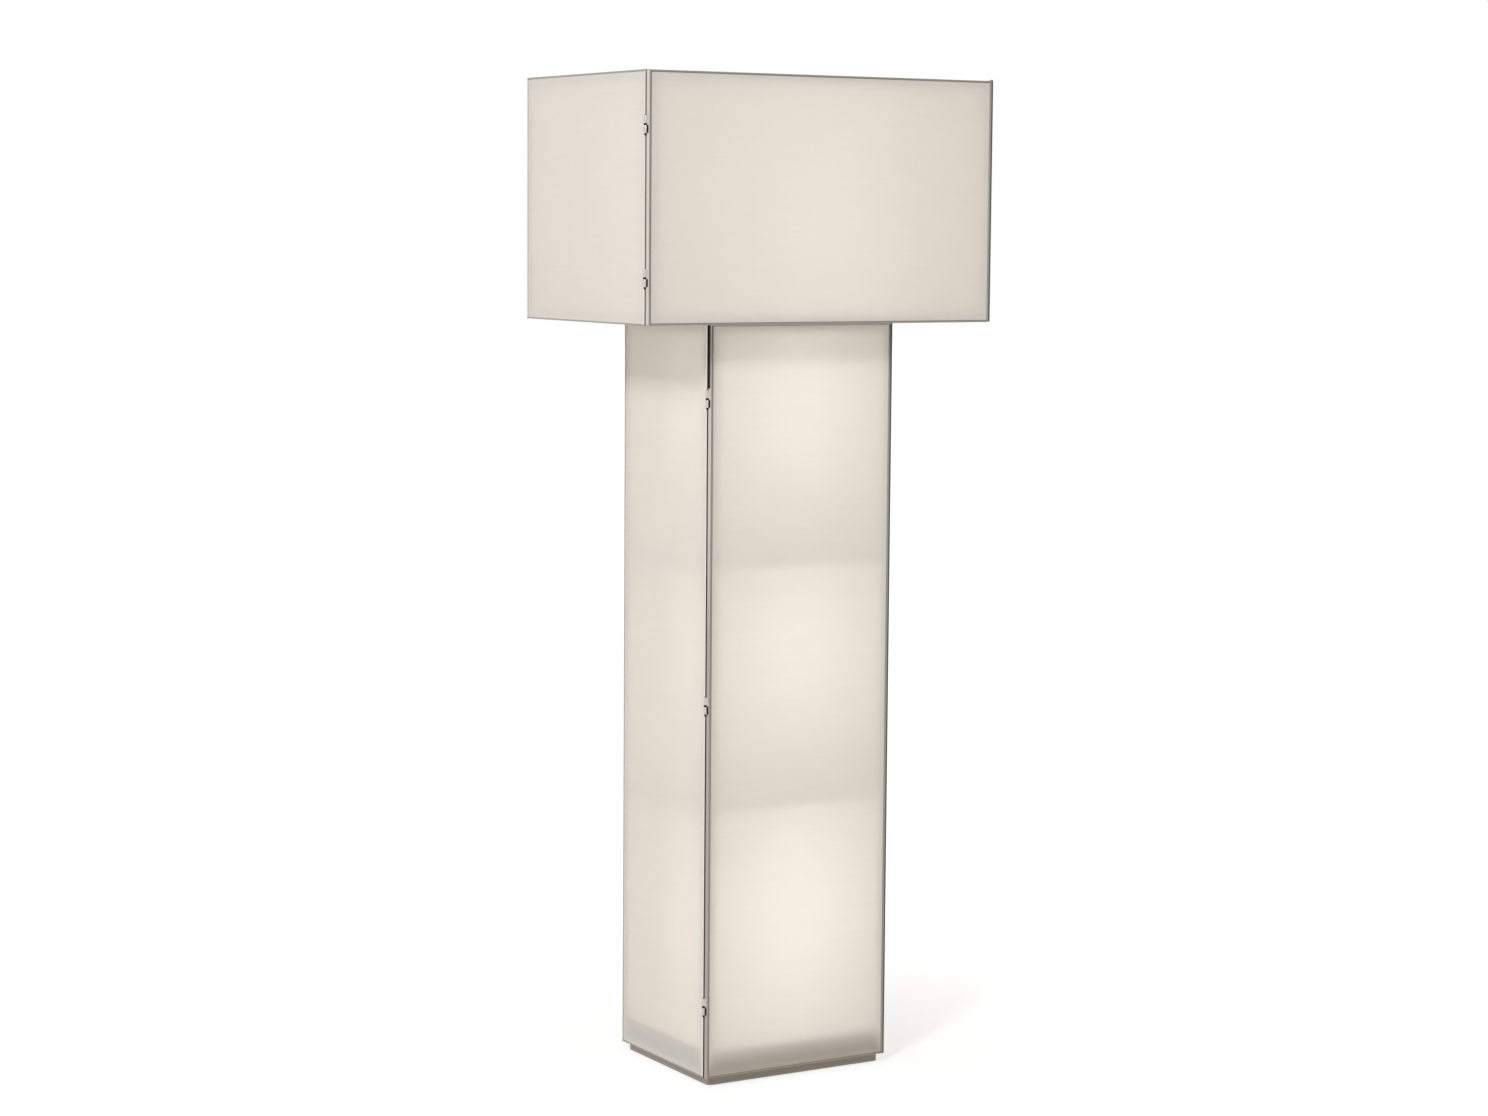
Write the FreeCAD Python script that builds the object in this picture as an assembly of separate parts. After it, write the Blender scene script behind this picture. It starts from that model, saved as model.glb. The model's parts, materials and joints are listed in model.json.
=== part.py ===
"""Column floor lamp: a tall glazed column with a wider glazed head on top of it.

Every face is a pane of satin opal glass in a slim metal frame. The front of the column and
the front of the head are doors, hung at the left on small lift-off barrel hinges that lie in the
shadow gap between door and carcass. Millimetres, +Z up, +X to the right of someone facing the
doors, +Y to the back. The origin is on the floor, under the middle of the head.
"""
import FreeCAD, Part
import math
import os
from FreeCAD import Vector

# ---------------------------------------------------------------- overall size
total_height = 1750.0
head_width = 690.0
head_depth = 444.0
head_height = 422.0
column_width = 370.0
column_depth = 308.0

# ---------------------------------------------------------------- frames and panes
frame_depth = 7.0          # thickness of every glazed frame
frame_lip = 3.4            # width of an upright bar, where it shows round a pane
frame_web = 1.6            # outer wall of an upright bar's glazing channel
rail_lip = 2.6             # the same for the bars along the top and the bottom
rail_web = 1.0
front_lip_thickness = 1.2  # metal in front of the pane
glass_thickness = 4.0
pane_edge_gap = 0.3        # play between the pane's edge and the channel's floor
frame_edge_radius = 0.8
hinge_stile = 4.4          # the stile of a door that carries its hinges
handle_stile = 7.6         # the free stile of a door is wider and has a finger bevel
finger_bevel_width = 5.0
finger_bevel_depth = 3.0

# ---------------------------------------------------------------- carcass
post_size = 10.0
post_wall = 1.2
door_gap = 5.4             # shadow gap between a door and its carcass
door_end_clearance = 1.0   # above and below a door
top_pane_gap = 0.5         # round the top pane, which lies inside the head's frames
top_plate_thickness = 4.0
head_floor_thickness = 3.0
wiring_slot_width = 24.0
wiring_slot_depth = 30.0

# ---------------------------------------------------------------- base
plinth_height = 15.0
plinth_inset = 9.0
plinth_corner_radius = 8.0
plinth_wall = 1.5
plinth_flange = 14.0
glide_height = 1.5
glide_radius = 6.0
base_height = 49.0         # from the top of the plinth to the floor of the lowest compartment
cover_thickness = 2.0
tray_wall = 1.5
tray_return = 12.0
lead_hole_size = 10.0
lead_hole_margin = 2.0
ballast_length = 280.0
ballast_width = 130.0
ballast_thickness = 12.0
driver_length = 150.0
driver_width = 44.0
driver_height = 30.0
driver_tab_length = 12.0
driver_tab_thickness = 3.0

# ---------------------------------------------------------------- shelves
shelf_count = 2
shelf_thickness = 8.0
shelf_side_gap = 2.0
shelf_post_gap = 1.0
bracket_leg = 12.0
bracket_thickness = 1.5

# ---------------------------------------------------------------- light line
channel_width = 18.0
channel_depth = 9.0
channel_wall = 1.5
strip_width = 10.0
strip_thickness = 1.2
diffuser_bulge = 6.0
diffuser_wall = 1.2

# ---------------------------------------------------------------- hinges
knuckle_radius = 3.4
knuckle_length = 13.5
washer_thickness = 2.4
washer_play = 0.1
hinge_pin_radius = 1.6
hinge_running_fit = 0.08
hinge_seat_fit = 0.02
hinge_blind_end = 2.5
hinge_leaf_thickness = 1.2
hinge_leaf_edge = 1.0      # the leaf stops this far behind the door's front
pocket_clearance = 0.8
pocket_end_clearance = 1.2
column_hinge_end = 127.0   # from either end of the column's door to the outer hinges
head_hinge_top = 89.0       # from the top of the head's door to the upper hinge
head_hinge_bottom = 78.0

# ---------------------------------------------------------------- seals and catches
seal_width = 4.0
seal_overlap = 1.0         # how far the seal reaches under the door's rails
seal_hinge_gap = 0.3       # from the barrels to the seal
seal_clearance = 0.3
magnet_width = 3.0
magnet_length = 26.0
magnet_clearance = 0.4
magnet_end_distance = 60.0
tab_width = 6.0
tab_thickness = 3.5
tab_margin = 0.3
tab_rise = 1.5             # above the top pane

# ---------------------------------------------------------------- fasteners
bolt_across_flats = 8.0
bolt_head_height = 3.5
bolt_edge_distance = 22.0

# ---------------------------------------------------------------- rear service plate
service_wall = 1.5
service_gap = 0.5
gland_across_flats = 16.0
gland_nut_thickness = 5.0
gland_dome_radius = 6.5
gland_dome_length = 11.0
gland_dome_chamfer = 1.8
gland_thread_radius = 6.0
gland_bore_radius = 3.6
gland_tail = 9.0
switch_from_edge = 55.0     # from the column's left face
gland_from_edge = 95.0
bezel_width = 16.0
bezel_height = 22.5
bezel_thickness = 2.0
switch_body_wall = 1.5
switch_body_depth = 16.0
rocker_width = 9.6
rocker_height = 16.4
rocker_depth = 6.5
rocker_proud = 2.0
rocker_tilt = 6.0
rocker_play = 0.6
rocker_pin_radius = 1.0
rocker_pin_reach = 0.9
rocker_pin_fit = 0.08

# ---------------------------------------------------------------- places worked out from the above
column_left = -column_width / 2
column_right = column_width / 2
column_front = -column_depth / 2
column_back = column_depth / 2
head_left = -head_width / 2
head_right = head_width / 2
head_front = -head_depth / 2
head_back = head_depth / 2
head_bottom = total_height - head_height
head_rail_top = total_height - glass_thickness   # the top pane lies on the rails
head_floor_top = head_bottom + head_floor_thickness
base_top = plinth_height + base_height
column_carcass_front = column_front + frame_depth + door_gap
head_carcass_front = head_front + frame_depth + door_gap
column_post_top = head_bottom - top_plate_thickness
switch_x = column_left + switch_from_edge
gland_x = column_left + gland_from_edge
compartment_height = (column_post_top - base_top - shelf_count * shelf_thickness) / (shelf_count + 1)


def block(x0, x1, y0, y1, z0, z1):
    """A box between two corners."""
    return Part.makeBox(x1 - x0, y1 - y0, z1 - z0, Vector(x0, y0, z0))


def cylinder(radius, length, place, axis):
    return Part.makeCylinder(radius, length, place, axis)


def joined(shapes):
    """One solid from shapes that overlap or touch."""
    whole = shapes[0]
    for shape in shapes[1:]:
        whole = whole.fuse(shape)
    return whole.removeSplitter()


def cut(shape, tools):
    for tool in tools:
        shape = shape.cut(tool)
    return shape


def prism(points, direction):
    """A closed outline pushed along a vector."""
    wire = Part.makePolygon(points + [points[0]])
    return Part.Face(wire).extrude(direction)


def in_plane(plane, u, v, w):
    """A point of a flat frame: u across, v up or back, w through its thickness."""
    if plane == "front":
        return Vector(u, w, v)
    if plane == "side":
        return Vector(w, u, v)
    return Vector(u, v, w)


def plane_block(plane, u0, u1, v0, v1, w0, w1):
    a = in_plane(plane, u0, v0, w0)
    b = in_plane(plane, u1, v1, w1)
    return block(min(a.x, b.x), max(a.x, b.x), min(a.y, b.y), max(a.y, b.y), min(a.z, b.z), max(a.z, b.z))


def rim_edges(shape, plane, w):
    """The edges of a box that lie at one depth of the plane."""
    found = []
    for edge in shape.Edges:
        depth = [in_plane_depth(plane, vertex.Point) for vertex in edge.Vertexes]
        if all(abs(d - w) < 1e-6 for d in depth):
            found.append(edge)
    return found


def in_plane_depth(plane, point):
    if plane == "front":
        return point.y
    if plane == "side":
        return point.x
    return point.z


def glazed_frame(plane, u0, u1, v0, v1, outer, inward, near_lip=frame_lip, far_lip=frame_lip):
    """Two full-height stiles and the two rails between them, round a pane. outer is the depth of the
    outer face and inward is +1 or -1. near_lip and far_lip are the lips of the stiles at u0 and u1."""
    near_web = near_lip - frame_lip + frame_web
    far_web = far_lip - frame_lip + frame_web
    inner = outer + inward * frame_depth
    pane_outer = outer + inward * front_lip_thickness
    pane_inner = pane_outer + inward * glass_thickness
    ring = plane_block(plane, u0, u1, v0, v1, outer, inner)
    ring = ring.makeFillet(frame_edge_radius, rim_edges(ring, plane, outer))
    sight = plane_block(plane, u0 + near_lip, u1 - far_lip, v0 + rail_lip, v1 - rail_lip, outer, inner)
    slot = plane_block(plane, u0 + near_web, u1 - far_web, v0 + rail_web, v1 - rail_web,
                       pane_outer, pane_inner)
    ring = cut(ring, [sight, slot])
    stiles = [plane_block(plane, u0, u0 + near_lip, v0, v1, outer, inner),
              plane_block(plane, u1 - far_lip, u1, v0, v1, outer, inner)]
    rails = [plane_block(plane, u0 + near_lip, u1 - far_lip, v0, v0 + rail_lip, outer, inner),
             plane_block(plane, u0 + near_lip, u1 - far_lip, v1 - rail_lip, v1, outer, inner)]
    bars = [ring.common(place) for place in stiles + rails]
    return bars


def pane(plane, u0, u1, v0, v1, outer, inward, near_lip=frame_lip, far_lip=frame_lip):
    """The glass of the frame that has the same limits."""
    edge = frame_web - frame_lip + pane_edge_gap
    rail_edge = rail_web + pane_edge_gap
    pane_outer = outer + inward * front_lip_thickness
    return plane_block(plane, u0 + near_lip + edge, u1 - far_lip - edge, v0 + rail_edge, v1 - rail_edge,
                       pane_outer, pane_outer + inward * glass_thickness)


def square_tube(axis, start, end, a0, b0):
    """A square tube along X, Y or Z, with its lower corner at a0, b0 in the other two axes."""
    def bar(inset, extra):
        low, high = start - extra, end + extra
        a1, b1 = a0 + post_size - inset, b0 + post_size - inset
        if axis == "x":
            return block(low, high, a0 + inset, a1, b0 + inset, b1)
        if axis == "y":
            return block(a0 + inset, a1, low, high, b0 + inset, b1)
        return block(a0 + inset, a1, b0 + inset, b1, low, high)
    return bar(0.0, 0.0).cut(bar(post_wall, 1.0))


def post_corners(half_width, front, back):
    """The lower corners of four posts that stand inside the side frames."""
    inner = half_width - frame_depth
    rear = back - frame_depth - post_size
    return [(-inner, front), (inner - post_size, front), (-inner, rear), (inner - post_size, rear)]


def rounded_block(x0, x1, y0, y1, z0, z1, radius):
    shape = block(x0, x1, y0, y1, z0, z1)
    upright = [e for e in shape.Edges if abs(e.Vertexes[0].Z - e.Vertexes[-1].Z) > (z1 - z0) / 2]
    return shape.makeFillet(radius, upright)


# ---------------------------------------------------------------- base pieces
def make_plinth():
    """A recessed C-section ring with rounded corners."""
    x0 = column_left + plinth_inset
    y0 = column_front + plinth_inset
    low, high = glide_height, plinth_height
    outer = rounded_block(x0, -x0, y0, -y0, low, high, plinth_corner_radius)
    inner_radius = plinth_corner_radius - plinth_wall
    cavity = rounded_block(x0 + plinth_wall, -x0 - plinth_wall, y0 + plinth_wall, -y0 - plinth_wall,
                           low + plinth_wall, high - plinth_wall, inner_radius)
    opening = block(x0 + plinth_flange, -x0 - plinth_flange, y0 + plinth_flange, -y0 - plinth_flange,
                    low, high)
    return cut(outer, [cavity, opening])


def make_glides():
    """Four discs that lift the plinth off the floor by a shadow line."""
    x = column_right - plinth_inset - plinth_flange / 2 - plinth_corner_radius / 2
    y = column_back - plinth_inset - plinth_flange / 2 - plinth_corner_radius / 2
    return [cylinder(glide_radius, glide_height, Vector(sx * x, sy * y, 0), Vector(0, 0, 1))
            for sx in (-1, 1) for sy in (-1, 1)]


def tray_half_width():
    return column_width / 2 - frame_depth - post_size


def make_base_tray():
    """Floor, folded sides with a return along the top, and plain ends; the rear one has a window."""
    half = tray_half_width()
    y0 = column_carcass_front
    y1 = column_back - frame_depth
    low = plinth_height
    top = base_top - cover_thickness
    floor = block(-half, half, y0, y1, low, low + tray_wall)
    sides = []
    for way in (-1, 1):
        outline = [(0, 0), (tray_wall, 0), (tray_wall, top - low - 2 * tray_wall),
                   (tray_return, top - low - 2 * tray_wall), (tray_return, top - low - tray_wall),
                   (0, top - low - tray_wall)]
        points = [Vector(way * (half - across), y0 + tray_wall, low + tray_wall + up) for across, up in outline]
        sides.append(prism(points, Vector(0, y1 - y0 - 2 * tray_wall, 0)))
    front = block(-half, half, y0, y0 + tray_wall, low + tray_wall, top)
    rear = block(-half, half, y1 - tray_wall, y1, low + tray_wall, top)
    window_low = min(switch_x, gland_x) - bezel_width
    window_high = max(switch_x, gland_x) + bezel_width
    middle = service_middle()
    window = block(window_low, window_high, y1 - tray_wall, y1,
                   middle - bezel_height / 2, middle + bezel_height / 2)
    return [floor] + sides + [front, rear.cut(window)]


def notched_plate(x_limit, y0, y1, z0, z1, corners, gap):
    """A plate with its corners cut away round the posts."""
    plate = block(-x_limit, x_limit, y0, y1, z0, z1)
    notches = [block(x - gap, x + post_size + gap, y - gap, y + post_size + gap, z0, z1)
               for x, y in corners]
    return cut(plate, notches)


def make_base_cover():
    """The lowest compartment's floor, notched round the posts, with a hole for the light's lead."""
    corners = post_corners(column_width / 2, column_carcass_front, column_back)
    low, high = base_top - cover_thickness, base_top
    plate = notched_plate(column_width / 2 - frame_depth, column_carcass_front, column_back - frame_depth,
                          low, high, corners, 0.0)
    return plate.cut(block(channel_width / 2 + lead_hole_margin, channel_width / 2 + lead_hole_margin
                           + lead_hole_size, lead_hole_front(), lead_hole_front() + lead_hole_size, low, high))


def lead_hole_front():
    return column_back - frame_depth - post_size - lead_hole_margin - lead_hole_size


def make_ballast_plate():
    low = plinth_height + tray_wall
    y0 = column_carcass_front + tray_wall + 10
    plate = block(-ballast_length / 2, ballast_length / 2, y0, y0 + ballast_width,
                  low, low + ballast_thickness)
    upright = [e for e in plate.Edges if abs(e.Vertexes[0].Z - e.Vertexes[-1].Z) > ballast_thickness / 2]
    return plate.makeChamfer(6.0, upright)


def make_led_driver():
    """A closed supply with a screw tab at each end."""
    low = plinth_height + tray_wall
    y0 = column_carcass_front + tray_wall + 10 + ballast_width + 18
    x0 = 0.0
    case = block(x0, x0 + driver_length, y0, y0 + driver_width, low, low + driver_height)
    long_edges = [e for e in case.Edges if e.Length > driver_length - 1
                  and e.CenterOfMass.z > low + driver_height / 2]
    case = case.makeFillet(3.0, long_edges)
    tabs = block(x0 - driver_tab_length, x0 + driver_length + driver_tab_length,
                 y0 + driver_width / 4, y0 + driver_width * 3 / 4, low, low + driver_tab_thickness)
    holes = [cylinder(2.2, driver_tab_thickness, Vector(x, y0 + driver_width / 2, low), Vector(0, 0, 1))
             for x in (x0 - driver_tab_length / 2, x0 + driver_length + driver_tab_length / 2)]
    return cut(joined([case, tabs]), holes)


# ---------------------------------------------------------------- rear service plate
def service_middle():
    return plinth_height + (base_height - service_gap) / 2


def make_service_plate():
    """A shallow pan that closes the base at the back, with the cord gland and the switch in it."""
    half = column_width / 2 - frame_depth - service_gap
    y0 = column_back - frame_depth
    low, high = plinth_height, base_top - service_gap
    outer = block(-half, half, y0, column_back, low, high)
    inside = block(-half + service_wall, half - service_wall, y0, column_back - service_wall,
                   low + service_wall, high - service_wall)
    gland_hole = cylinder(gland_thread_radius, service_wall + 2,
                          Vector(gland_x, column_back - service_wall - 1, service_middle()), Vector(0, 1, 0))
    w, h = switch_body_size()
    switch_hole = block(switch_x - w / 2, switch_x + w / 2, column_back - service_wall - 1, column_back + 1,
                        service_middle() - h / 2, service_middle() + h / 2)
    return cut(outer, [inside, gland_hole, switch_hole])


def make_cable_gland():
    """Hexagon, ribbed dome nut and threaded tail, with the cord's bore through them all."""
    middle = service_middle()
    face = Vector(gland_x, column_back, middle)
    hexagon = hexagon_nut(face, gland_across_flats, gland_nut_thickness, Vector(0, 1, 0), Vector(1, 0, 0))
    dome_start = face + Vector(0, gland_nut_thickness, 0)
    dome = cylinder(gland_dome_radius, gland_dome_length, dome_start, Vector(0, 1, 0))
    far = [e for e in dome.Edges if e.Closed and e.CenterOfMass.y > dome_start.y + gland_dome_length / 2]
    dome = dome.makeChamfer(gland_dome_chamfer, far)
    tail = cylinder(gland_thread_radius, gland_tail, face - Vector(0, gland_tail, 0), Vector(0, 1, 0))
    length = gland_tail + gland_nut_thickness + gland_dome_length
    bore = cylinder(gland_bore_radius, length + 2, face - Vector(0, gland_tail + 1, 0), Vector(0, 1, 0))
    return joined([hexagon, dome, tail]).cut(bore)


def switch_body_size():
    w = rocker_width + 2 * (rocker_play + switch_body_wall)
    h = rocker_height + 2 * (rocker_play + switch_body_wall)
    return w, h


def rocker_pivot():
    return Vector(switch_x, column_back - 1.0, service_middle())


def make_switch_housing():
    """A bezel on the plate and a closed body behind it, open in front for the rocker."""
    middle = service_middle()
    w, h = switch_body_size()
    bezel = block(switch_x - bezel_width / 2, switch_x + bezel_width / 2, column_back,
                  column_back + bezel_thickness, middle - bezel_height / 2, middle + bezel_height / 2)
    rim = [e for e in bezel.Edges if abs(e.Vertexes[0].Y - column_back - bezel_thickness) < 1e-6
           and abs(e.Vertexes[-1].Y - column_back - bezel_thickness) < 1e-6]
    bezel = bezel.makeFillet(0.7, rim)
    body = block(switch_x - w / 2, switch_x + w / 2, column_back - switch_body_depth, column_back,
                 middle - h / 2, middle + h / 2)
    well_w = rocker_width + 2 * rocker_play
    well_h = rocker_height + 2 * rocker_play
    well = block(switch_x - well_w / 2, switch_x + well_w / 2,
                 column_back - switch_body_depth + switch_body_wall, column_back + bezel_thickness,
                 middle - well_h / 2, middle + well_h / 2)
    pin_hole_length = well_w + 2 * rocker_pin_reach
    pin_hole = cylinder(rocker_pin_radius + rocker_pin_fit, pin_hole_length,
                        rocker_pivot() - Vector(pin_hole_length / 2, 0, 0), Vector(1, 0, 0))
    return cut(joined([bezel, body]), [well, pin_hole])


def make_switch_rocker():
    """A rocker with a dished face and a round back, tilted to its off side."""
    pivot = rocker_pivot()
    half = rocker_height / 2
    crest = column_back + bezel_thickness + rocker_proud - pivot.y
    dish = crest - half * math.tan(math.radians(rocker_tilt))
    x0 = switch_x - rocker_width / 2
    points = [(-half, 0.0), (-half, crest), (0.0, dish), (half, crest), (half, 0.0)]
    base = [Vector(x0, pivot.y + y, pivot.z + z) for z, y in points]
    low_mid = Vector(x0, pivot.y - rocker_depth, pivot.z)
    arc = Part.Arc(base[4], low_mid, base[0]).toShape()
    edges = [Part.makeLine(base[k], base[k + 1]) for k in range(4)] + [arc]
    body = Part.Face(Part.Wire(edges)).extrude(Vector(rocker_width, 0, 0))
    pin_length = rocker_width + 2 * (rocker_play + rocker_pin_reach) - 0.4
    pins = cylinder(rocker_pin_radius, pin_length, pivot - Vector(pin_length / 2, 0, 0), Vector(1, 0, 0))
    rocker = joined([body, pins])
    rocker.rotate(pivot, Vector(1, 0, 0), -rocker_tilt)
    return rocker


# ---------------------------------------------------------------- column
def column_side_limits():
    return column_carcass_front, column_back, plinth_height, head_bottom


def column_back_limits():
    inner = column_width / 2 - frame_depth
    return -inner, inner, base_top, head_bottom


def column_door_limits():
    return (column_left, column_right,
            plinth_height + door_end_clearance, head_bottom - door_end_clearance)


def head_side_limits():
    return head_carcass_front, head_back, head_bottom, total_height


def head_back_limits():
    inner = head_width / 2 - frame_depth
    return -inner, inner, head_bottom, total_height


def head_door_limits():
    return (head_left, head_right,
            head_bottom + door_end_clearance, total_height - door_end_clearance)


def make_column_posts():
    corners = post_corners(column_width / 2, column_carcass_front, column_back)
    return [square_tube("z", plinth_height, column_post_top, x, y) for x, y in corners]


def ring_of_rails(half_width, front, back, low):
    """Four tubes between the posts at one height."""
    inner = half_width - frame_depth
    rear = back - frame_depth - post_size
    return [square_tube("x", -inner + post_size, inner - post_size, front, low),
            square_tube("x", -inner + post_size, inner - post_size, rear, low),
            square_tube("y", front + post_size, rear, -inner, low),
            square_tube("y", front + post_size, rear, inner - post_size, low)]


def make_column_rails():
    return ring_of_rails(column_width / 2, column_carcass_front, column_back,
                         column_post_top - post_size)


def head_bolt_places():
    x = column_width / 2 - frame_depth - bolt_edge_distance
    front = column_carcass_front + bolt_edge_distance
    back = column_back - frame_depth - bolt_edge_distance
    return [(sx * x, y) for sx in (-1, 1) for y in (front, back)]


def wiring_slot(low, high):
    """An opening in front of the light line for its lead."""
    front = column_back - frame_depth - post_size - wiring_slot_depth
    return block(-wiring_slot_width / 2, wiring_slot_width / 2, front, front + wiring_slot_depth, low, high)


def make_column_top_plate():
    """The steel plate that ties the posts and carries the head."""
    plate = block(-column_width / 2 + frame_depth, column_width / 2 - frame_depth, column_carcass_front,
                  column_back - frame_depth, column_post_top, head_bottom)
    return plate.cut(wiring_slot(column_post_top, head_bottom))


def shelf_bottoms():
    return [base_top + compartment_height + k * (compartment_height + shelf_thickness)
            for k in range(shelf_count)]


def light_line_front(back):
    """The depth that the diffuser of a light line reaches, from the back of its volume."""
    return back - frame_depth - channel_depth - diffuser_bulge


def make_shelf(bottom):
    """A glass shelf, notched round the posts and round the light line, with arrised edges."""
    corners = post_corners(column_width / 2, column_carcass_front, column_back)
    limit = column_width / 2 - frame_depth - shelf_side_gap
    front = column_carcass_front + shelf_side_gap
    back = column_back - frame_depth - shelf_side_gap
    plate = notched_plate(limit, front, back, bottom, bottom + shelf_thickness, corners, shelf_post_gap)
    notch_front = light_line_front(column_back) - shelf_side_gap
    notch_half = channel_width / 2 + shelf_side_gap
    return plate.cut(block(-notch_half, notch_half, notch_front, back, bottom, bottom + shelf_thickness))


def make_shelf_brackets():
    """Small angles on the posts, four under each shelf."""
    rear = column_back - frame_depth - post_size
    inner = column_width / 2 - frame_depth
    brackets = []
    for top in shelf_bottoms():
        for x in (-inner, inner - post_size):
            for start, way in ((column_carcass_front + post_size, 1), (rear, -1)):
                leg_end = start + way * bracket_leg
                wall_end = start + way * bracket_thickness
                leg = block(x, x + post_size, min(start, leg_end), max(start, leg_end),
                            top - bracket_thickness, top)
                wall = block(x, x + post_size, min(start, wall_end), max(start, wall_end),
                             top - bracket_leg, top)
                brackets.append(joined([leg, wall]))
    return brackets


# ---------------------------------------------------------------- light lines
def make_light_line(back, low, high):
    """Extruded channel, light strip and bowed diffuser, upright in the middle of a back."""
    rear = back - frame_depth
    mouth = rear - channel_depth
    half = channel_width / 2
    length = Vector(0, 0, high - low)
    channel = block(-half, half, mouth, rear, low, high)
    groove = block(-half + channel_wall, half - channel_wall, mouth, rear - channel_wall, low, high)
    channel = channel.cut(groove)
    strip = block(-strip_width / 2, strip_width / 2, rear - channel_wall - strip_thickness,
                  rear - channel_wall, low + 3, high - 3)
    outer_arc = Part.Arc(Vector(-half, mouth, low), Vector(0, mouth - diffuser_bulge, low),
                         Vector(half, mouth, low)).toShape()
    inner_half = half - diffuser_wall
    inner_arc = Part.Arc(Vector(inner_half, mouth, low),
                         Vector(0, mouth - diffuser_bulge + diffuser_wall, low),
                         Vector(-inner_half, mouth, low)).toShape()
    right_foot = Part.makeLine(Vector(half, mouth, low), Vector(inner_half, mouth, low))
    left_foot = Part.makeLine(Vector(-inner_half, mouth, low), Vector(-half, mouth, low))
    diffuser = Part.Face(Part.Wire([outer_arc, right_foot, inner_arc, left_foot])).extrude(length)
    return channel, strip, diffuser


# ---------------------------------------------------------------- hinges
class Hinge:
    """One lift-off barrel hinge, on the left face of a volume, in its door gap."""

    def __init__(self, left, front, middle):
        self.axis_x = left
        self.door_rear = front + frame_depth
        self.carcass = self.door_rear + door_gap
        self.axis_y = (self.door_rear + self.carcass) / 2
        self.front = front
        self.low_bottom = middle - washer_thickness / 2 - knuckle_length
        self.low_top = middle - washer_thickness / 2
        self.high_bottom = middle + washer_thickness / 2
        self.high_top = middle + washer_thickness / 2 + knuckle_length

    def point(self, z):
        return Vector(self.axis_x, self.axis_y, z)

    def barrel(self, low):
        return cylinder(knuckle_radius, knuckle_length, self.point(low), Vector(0, 0, 1))

    def web(self, low, y0, y1):
        return block(self.axis_x, self.axis_x + knuckle_radius, y0, y1, low, low + knuckle_length)

    def carcass_knuckle(self):
        """Sits flat on the side frame's front edge and holds the pin."""
        beyond = block(self.axis_x - knuckle_radius, self.axis_x + knuckle_radius, self.carcass,
                       self.carcass + knuckle_radius, self.low_bottom, self.low_top)
        shape = joined([self.barrel(self.low_bottom).cut(beyond),
                        self.web(self.low_bottom, self.axis_y, self.carcass)])
        bore_low = self.low_bottom + hinge_blind_end
        bore = cylinder(hinge_pin_radius + hinge_seat_fit, knuckle_length, self.point(bore_low),
                        Vector(0, 0, 1))
        return shape.cut(bore)

    def door_knuckle(self):
        """Sits flat on the door's back and wraps its edge with a thin leaf."""
        beyond = block(self.axis_x - knuckle_radius, self.axis_x + knuckle_radius,
                       self.door_rear - knuckle_radius, self.door_rear, self.high_bottom, self.high_top)
        leaf = block(self.axis_x - hinge_leaf_thickness, self.axis_x, self.front + hinge_leaf_edge,
                     self.axis_y, self.high_bottom, self.high_top)
        shape = joined([self.barrel(self.high_bottom).cut(beyond), leaf,
                        self.web(self.high_bottom, self.door_rear, self.axis_y)])
        bore = cylinder(hinge_pin_radius + hinge_running_fit, knuckle_length - hinge_blind_end,
                        self.point(self.high_bottom), Vector(0, 0, 1))
        return shape.cut(bore)

    def pin(self):
        low = self.low_bottom + hinge_blind_end
        high = self.high_top - hinge_blind_end - 1.0
        return cylinder(hinge_pin_radius, high - low, self.point(low), Vector(0, 0, 1))

    def washer(self):
        shape = cylinder(knuckle_radius - 0.25, washer_thickness - washer_play, self.point(self.low_top),
                         Vector(0, 0, 1))
        hole = cylinder(hinge_pin_radius + hinge_running_fit, washer_thickness, self.point(self.low_top),
                        Vector(0, 0, 1))
        return shape.cut(hole)

    def pocket(self, low, high):
        """Room in a frame's edge for the knuckle that isn't its own, and for the washer."""
        return cylinder(knuckle_radius + pocket_clearance, high - low, self.point(low), Vector(0, 0, 1))

    def door_pocket(self):
        return self.pocket(self.low_bottom - pocket_end_clearance, self.high_bottom)

    def carcass_pocket(self):
        return self.pocket(self.low_top, self.high_top + pocket_end_clearance)


def column_hinges():
    _, _, low, high = column_door_limits()
    heights = (low + column_hinge_end, (low + high) / 2, high - column_hinge_end)
    return [Hinge(column_left, column_front, z) for z in heights]


def head_hinges():
    _, _, low, high = head_door_limits()
    return [Hinge(head_left, head_front, z) for z in (low + head_hinge_bottom, high - head_hinge_top)]


def with_pockets(bars, pockets):
    """Cuts hinge pockets out of whichever bars they reach."""
    return [cut(bar, [p for p in pockets if bar.BoundBox.intersect(p.BoundBox)]) for bar in bars]


# ---------------------------------------------------------------- seals and catches
def make_seal(limits, front):
    """A square dust seal on the carcass, just inside the edge of the door."""
    u0, u1, v0, v1 = limits
    side_inset = knuckle_radius + seal_hinge_gap
    rail_inset = rail_lip - seal_overlap
    outer = front + frame_depth + seal_clearance
    inner = front + frame_depth + door_gap
    a0, a1, b0, b1 = u0 + side_inset, u1 - side_inset, v0 + rail_inset, v1 - rail_inset
    return [block(a0, a0 + seal_width, outer, inner, b0, b1),
            block(a1 - seal_width, a1, outer, inner, b0, b1),
            block(a0 + seal_width, a1 - seal_width, outer, inner, b0, b0 + seal_width),
            block(a0 + seal_width, a1 - seal_width, outer, inner, b1 - seal_width, b1)]


def make_catches(limits, front):
    """Bar magnets behind the free edge of the door."""
    _, u1, v0, v1 = limits
    outer = front + frame_depth + magnet_clearance
    inner = front + frame_depth + door_gap
    x1 = u1
    return [block(x1 - magnet_width, x1, outer, inner, z, z + magnet_length)
            for z in (v0 + magnet_end_distance, v1 - magnet_end_distance - magnet_length)]


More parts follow.
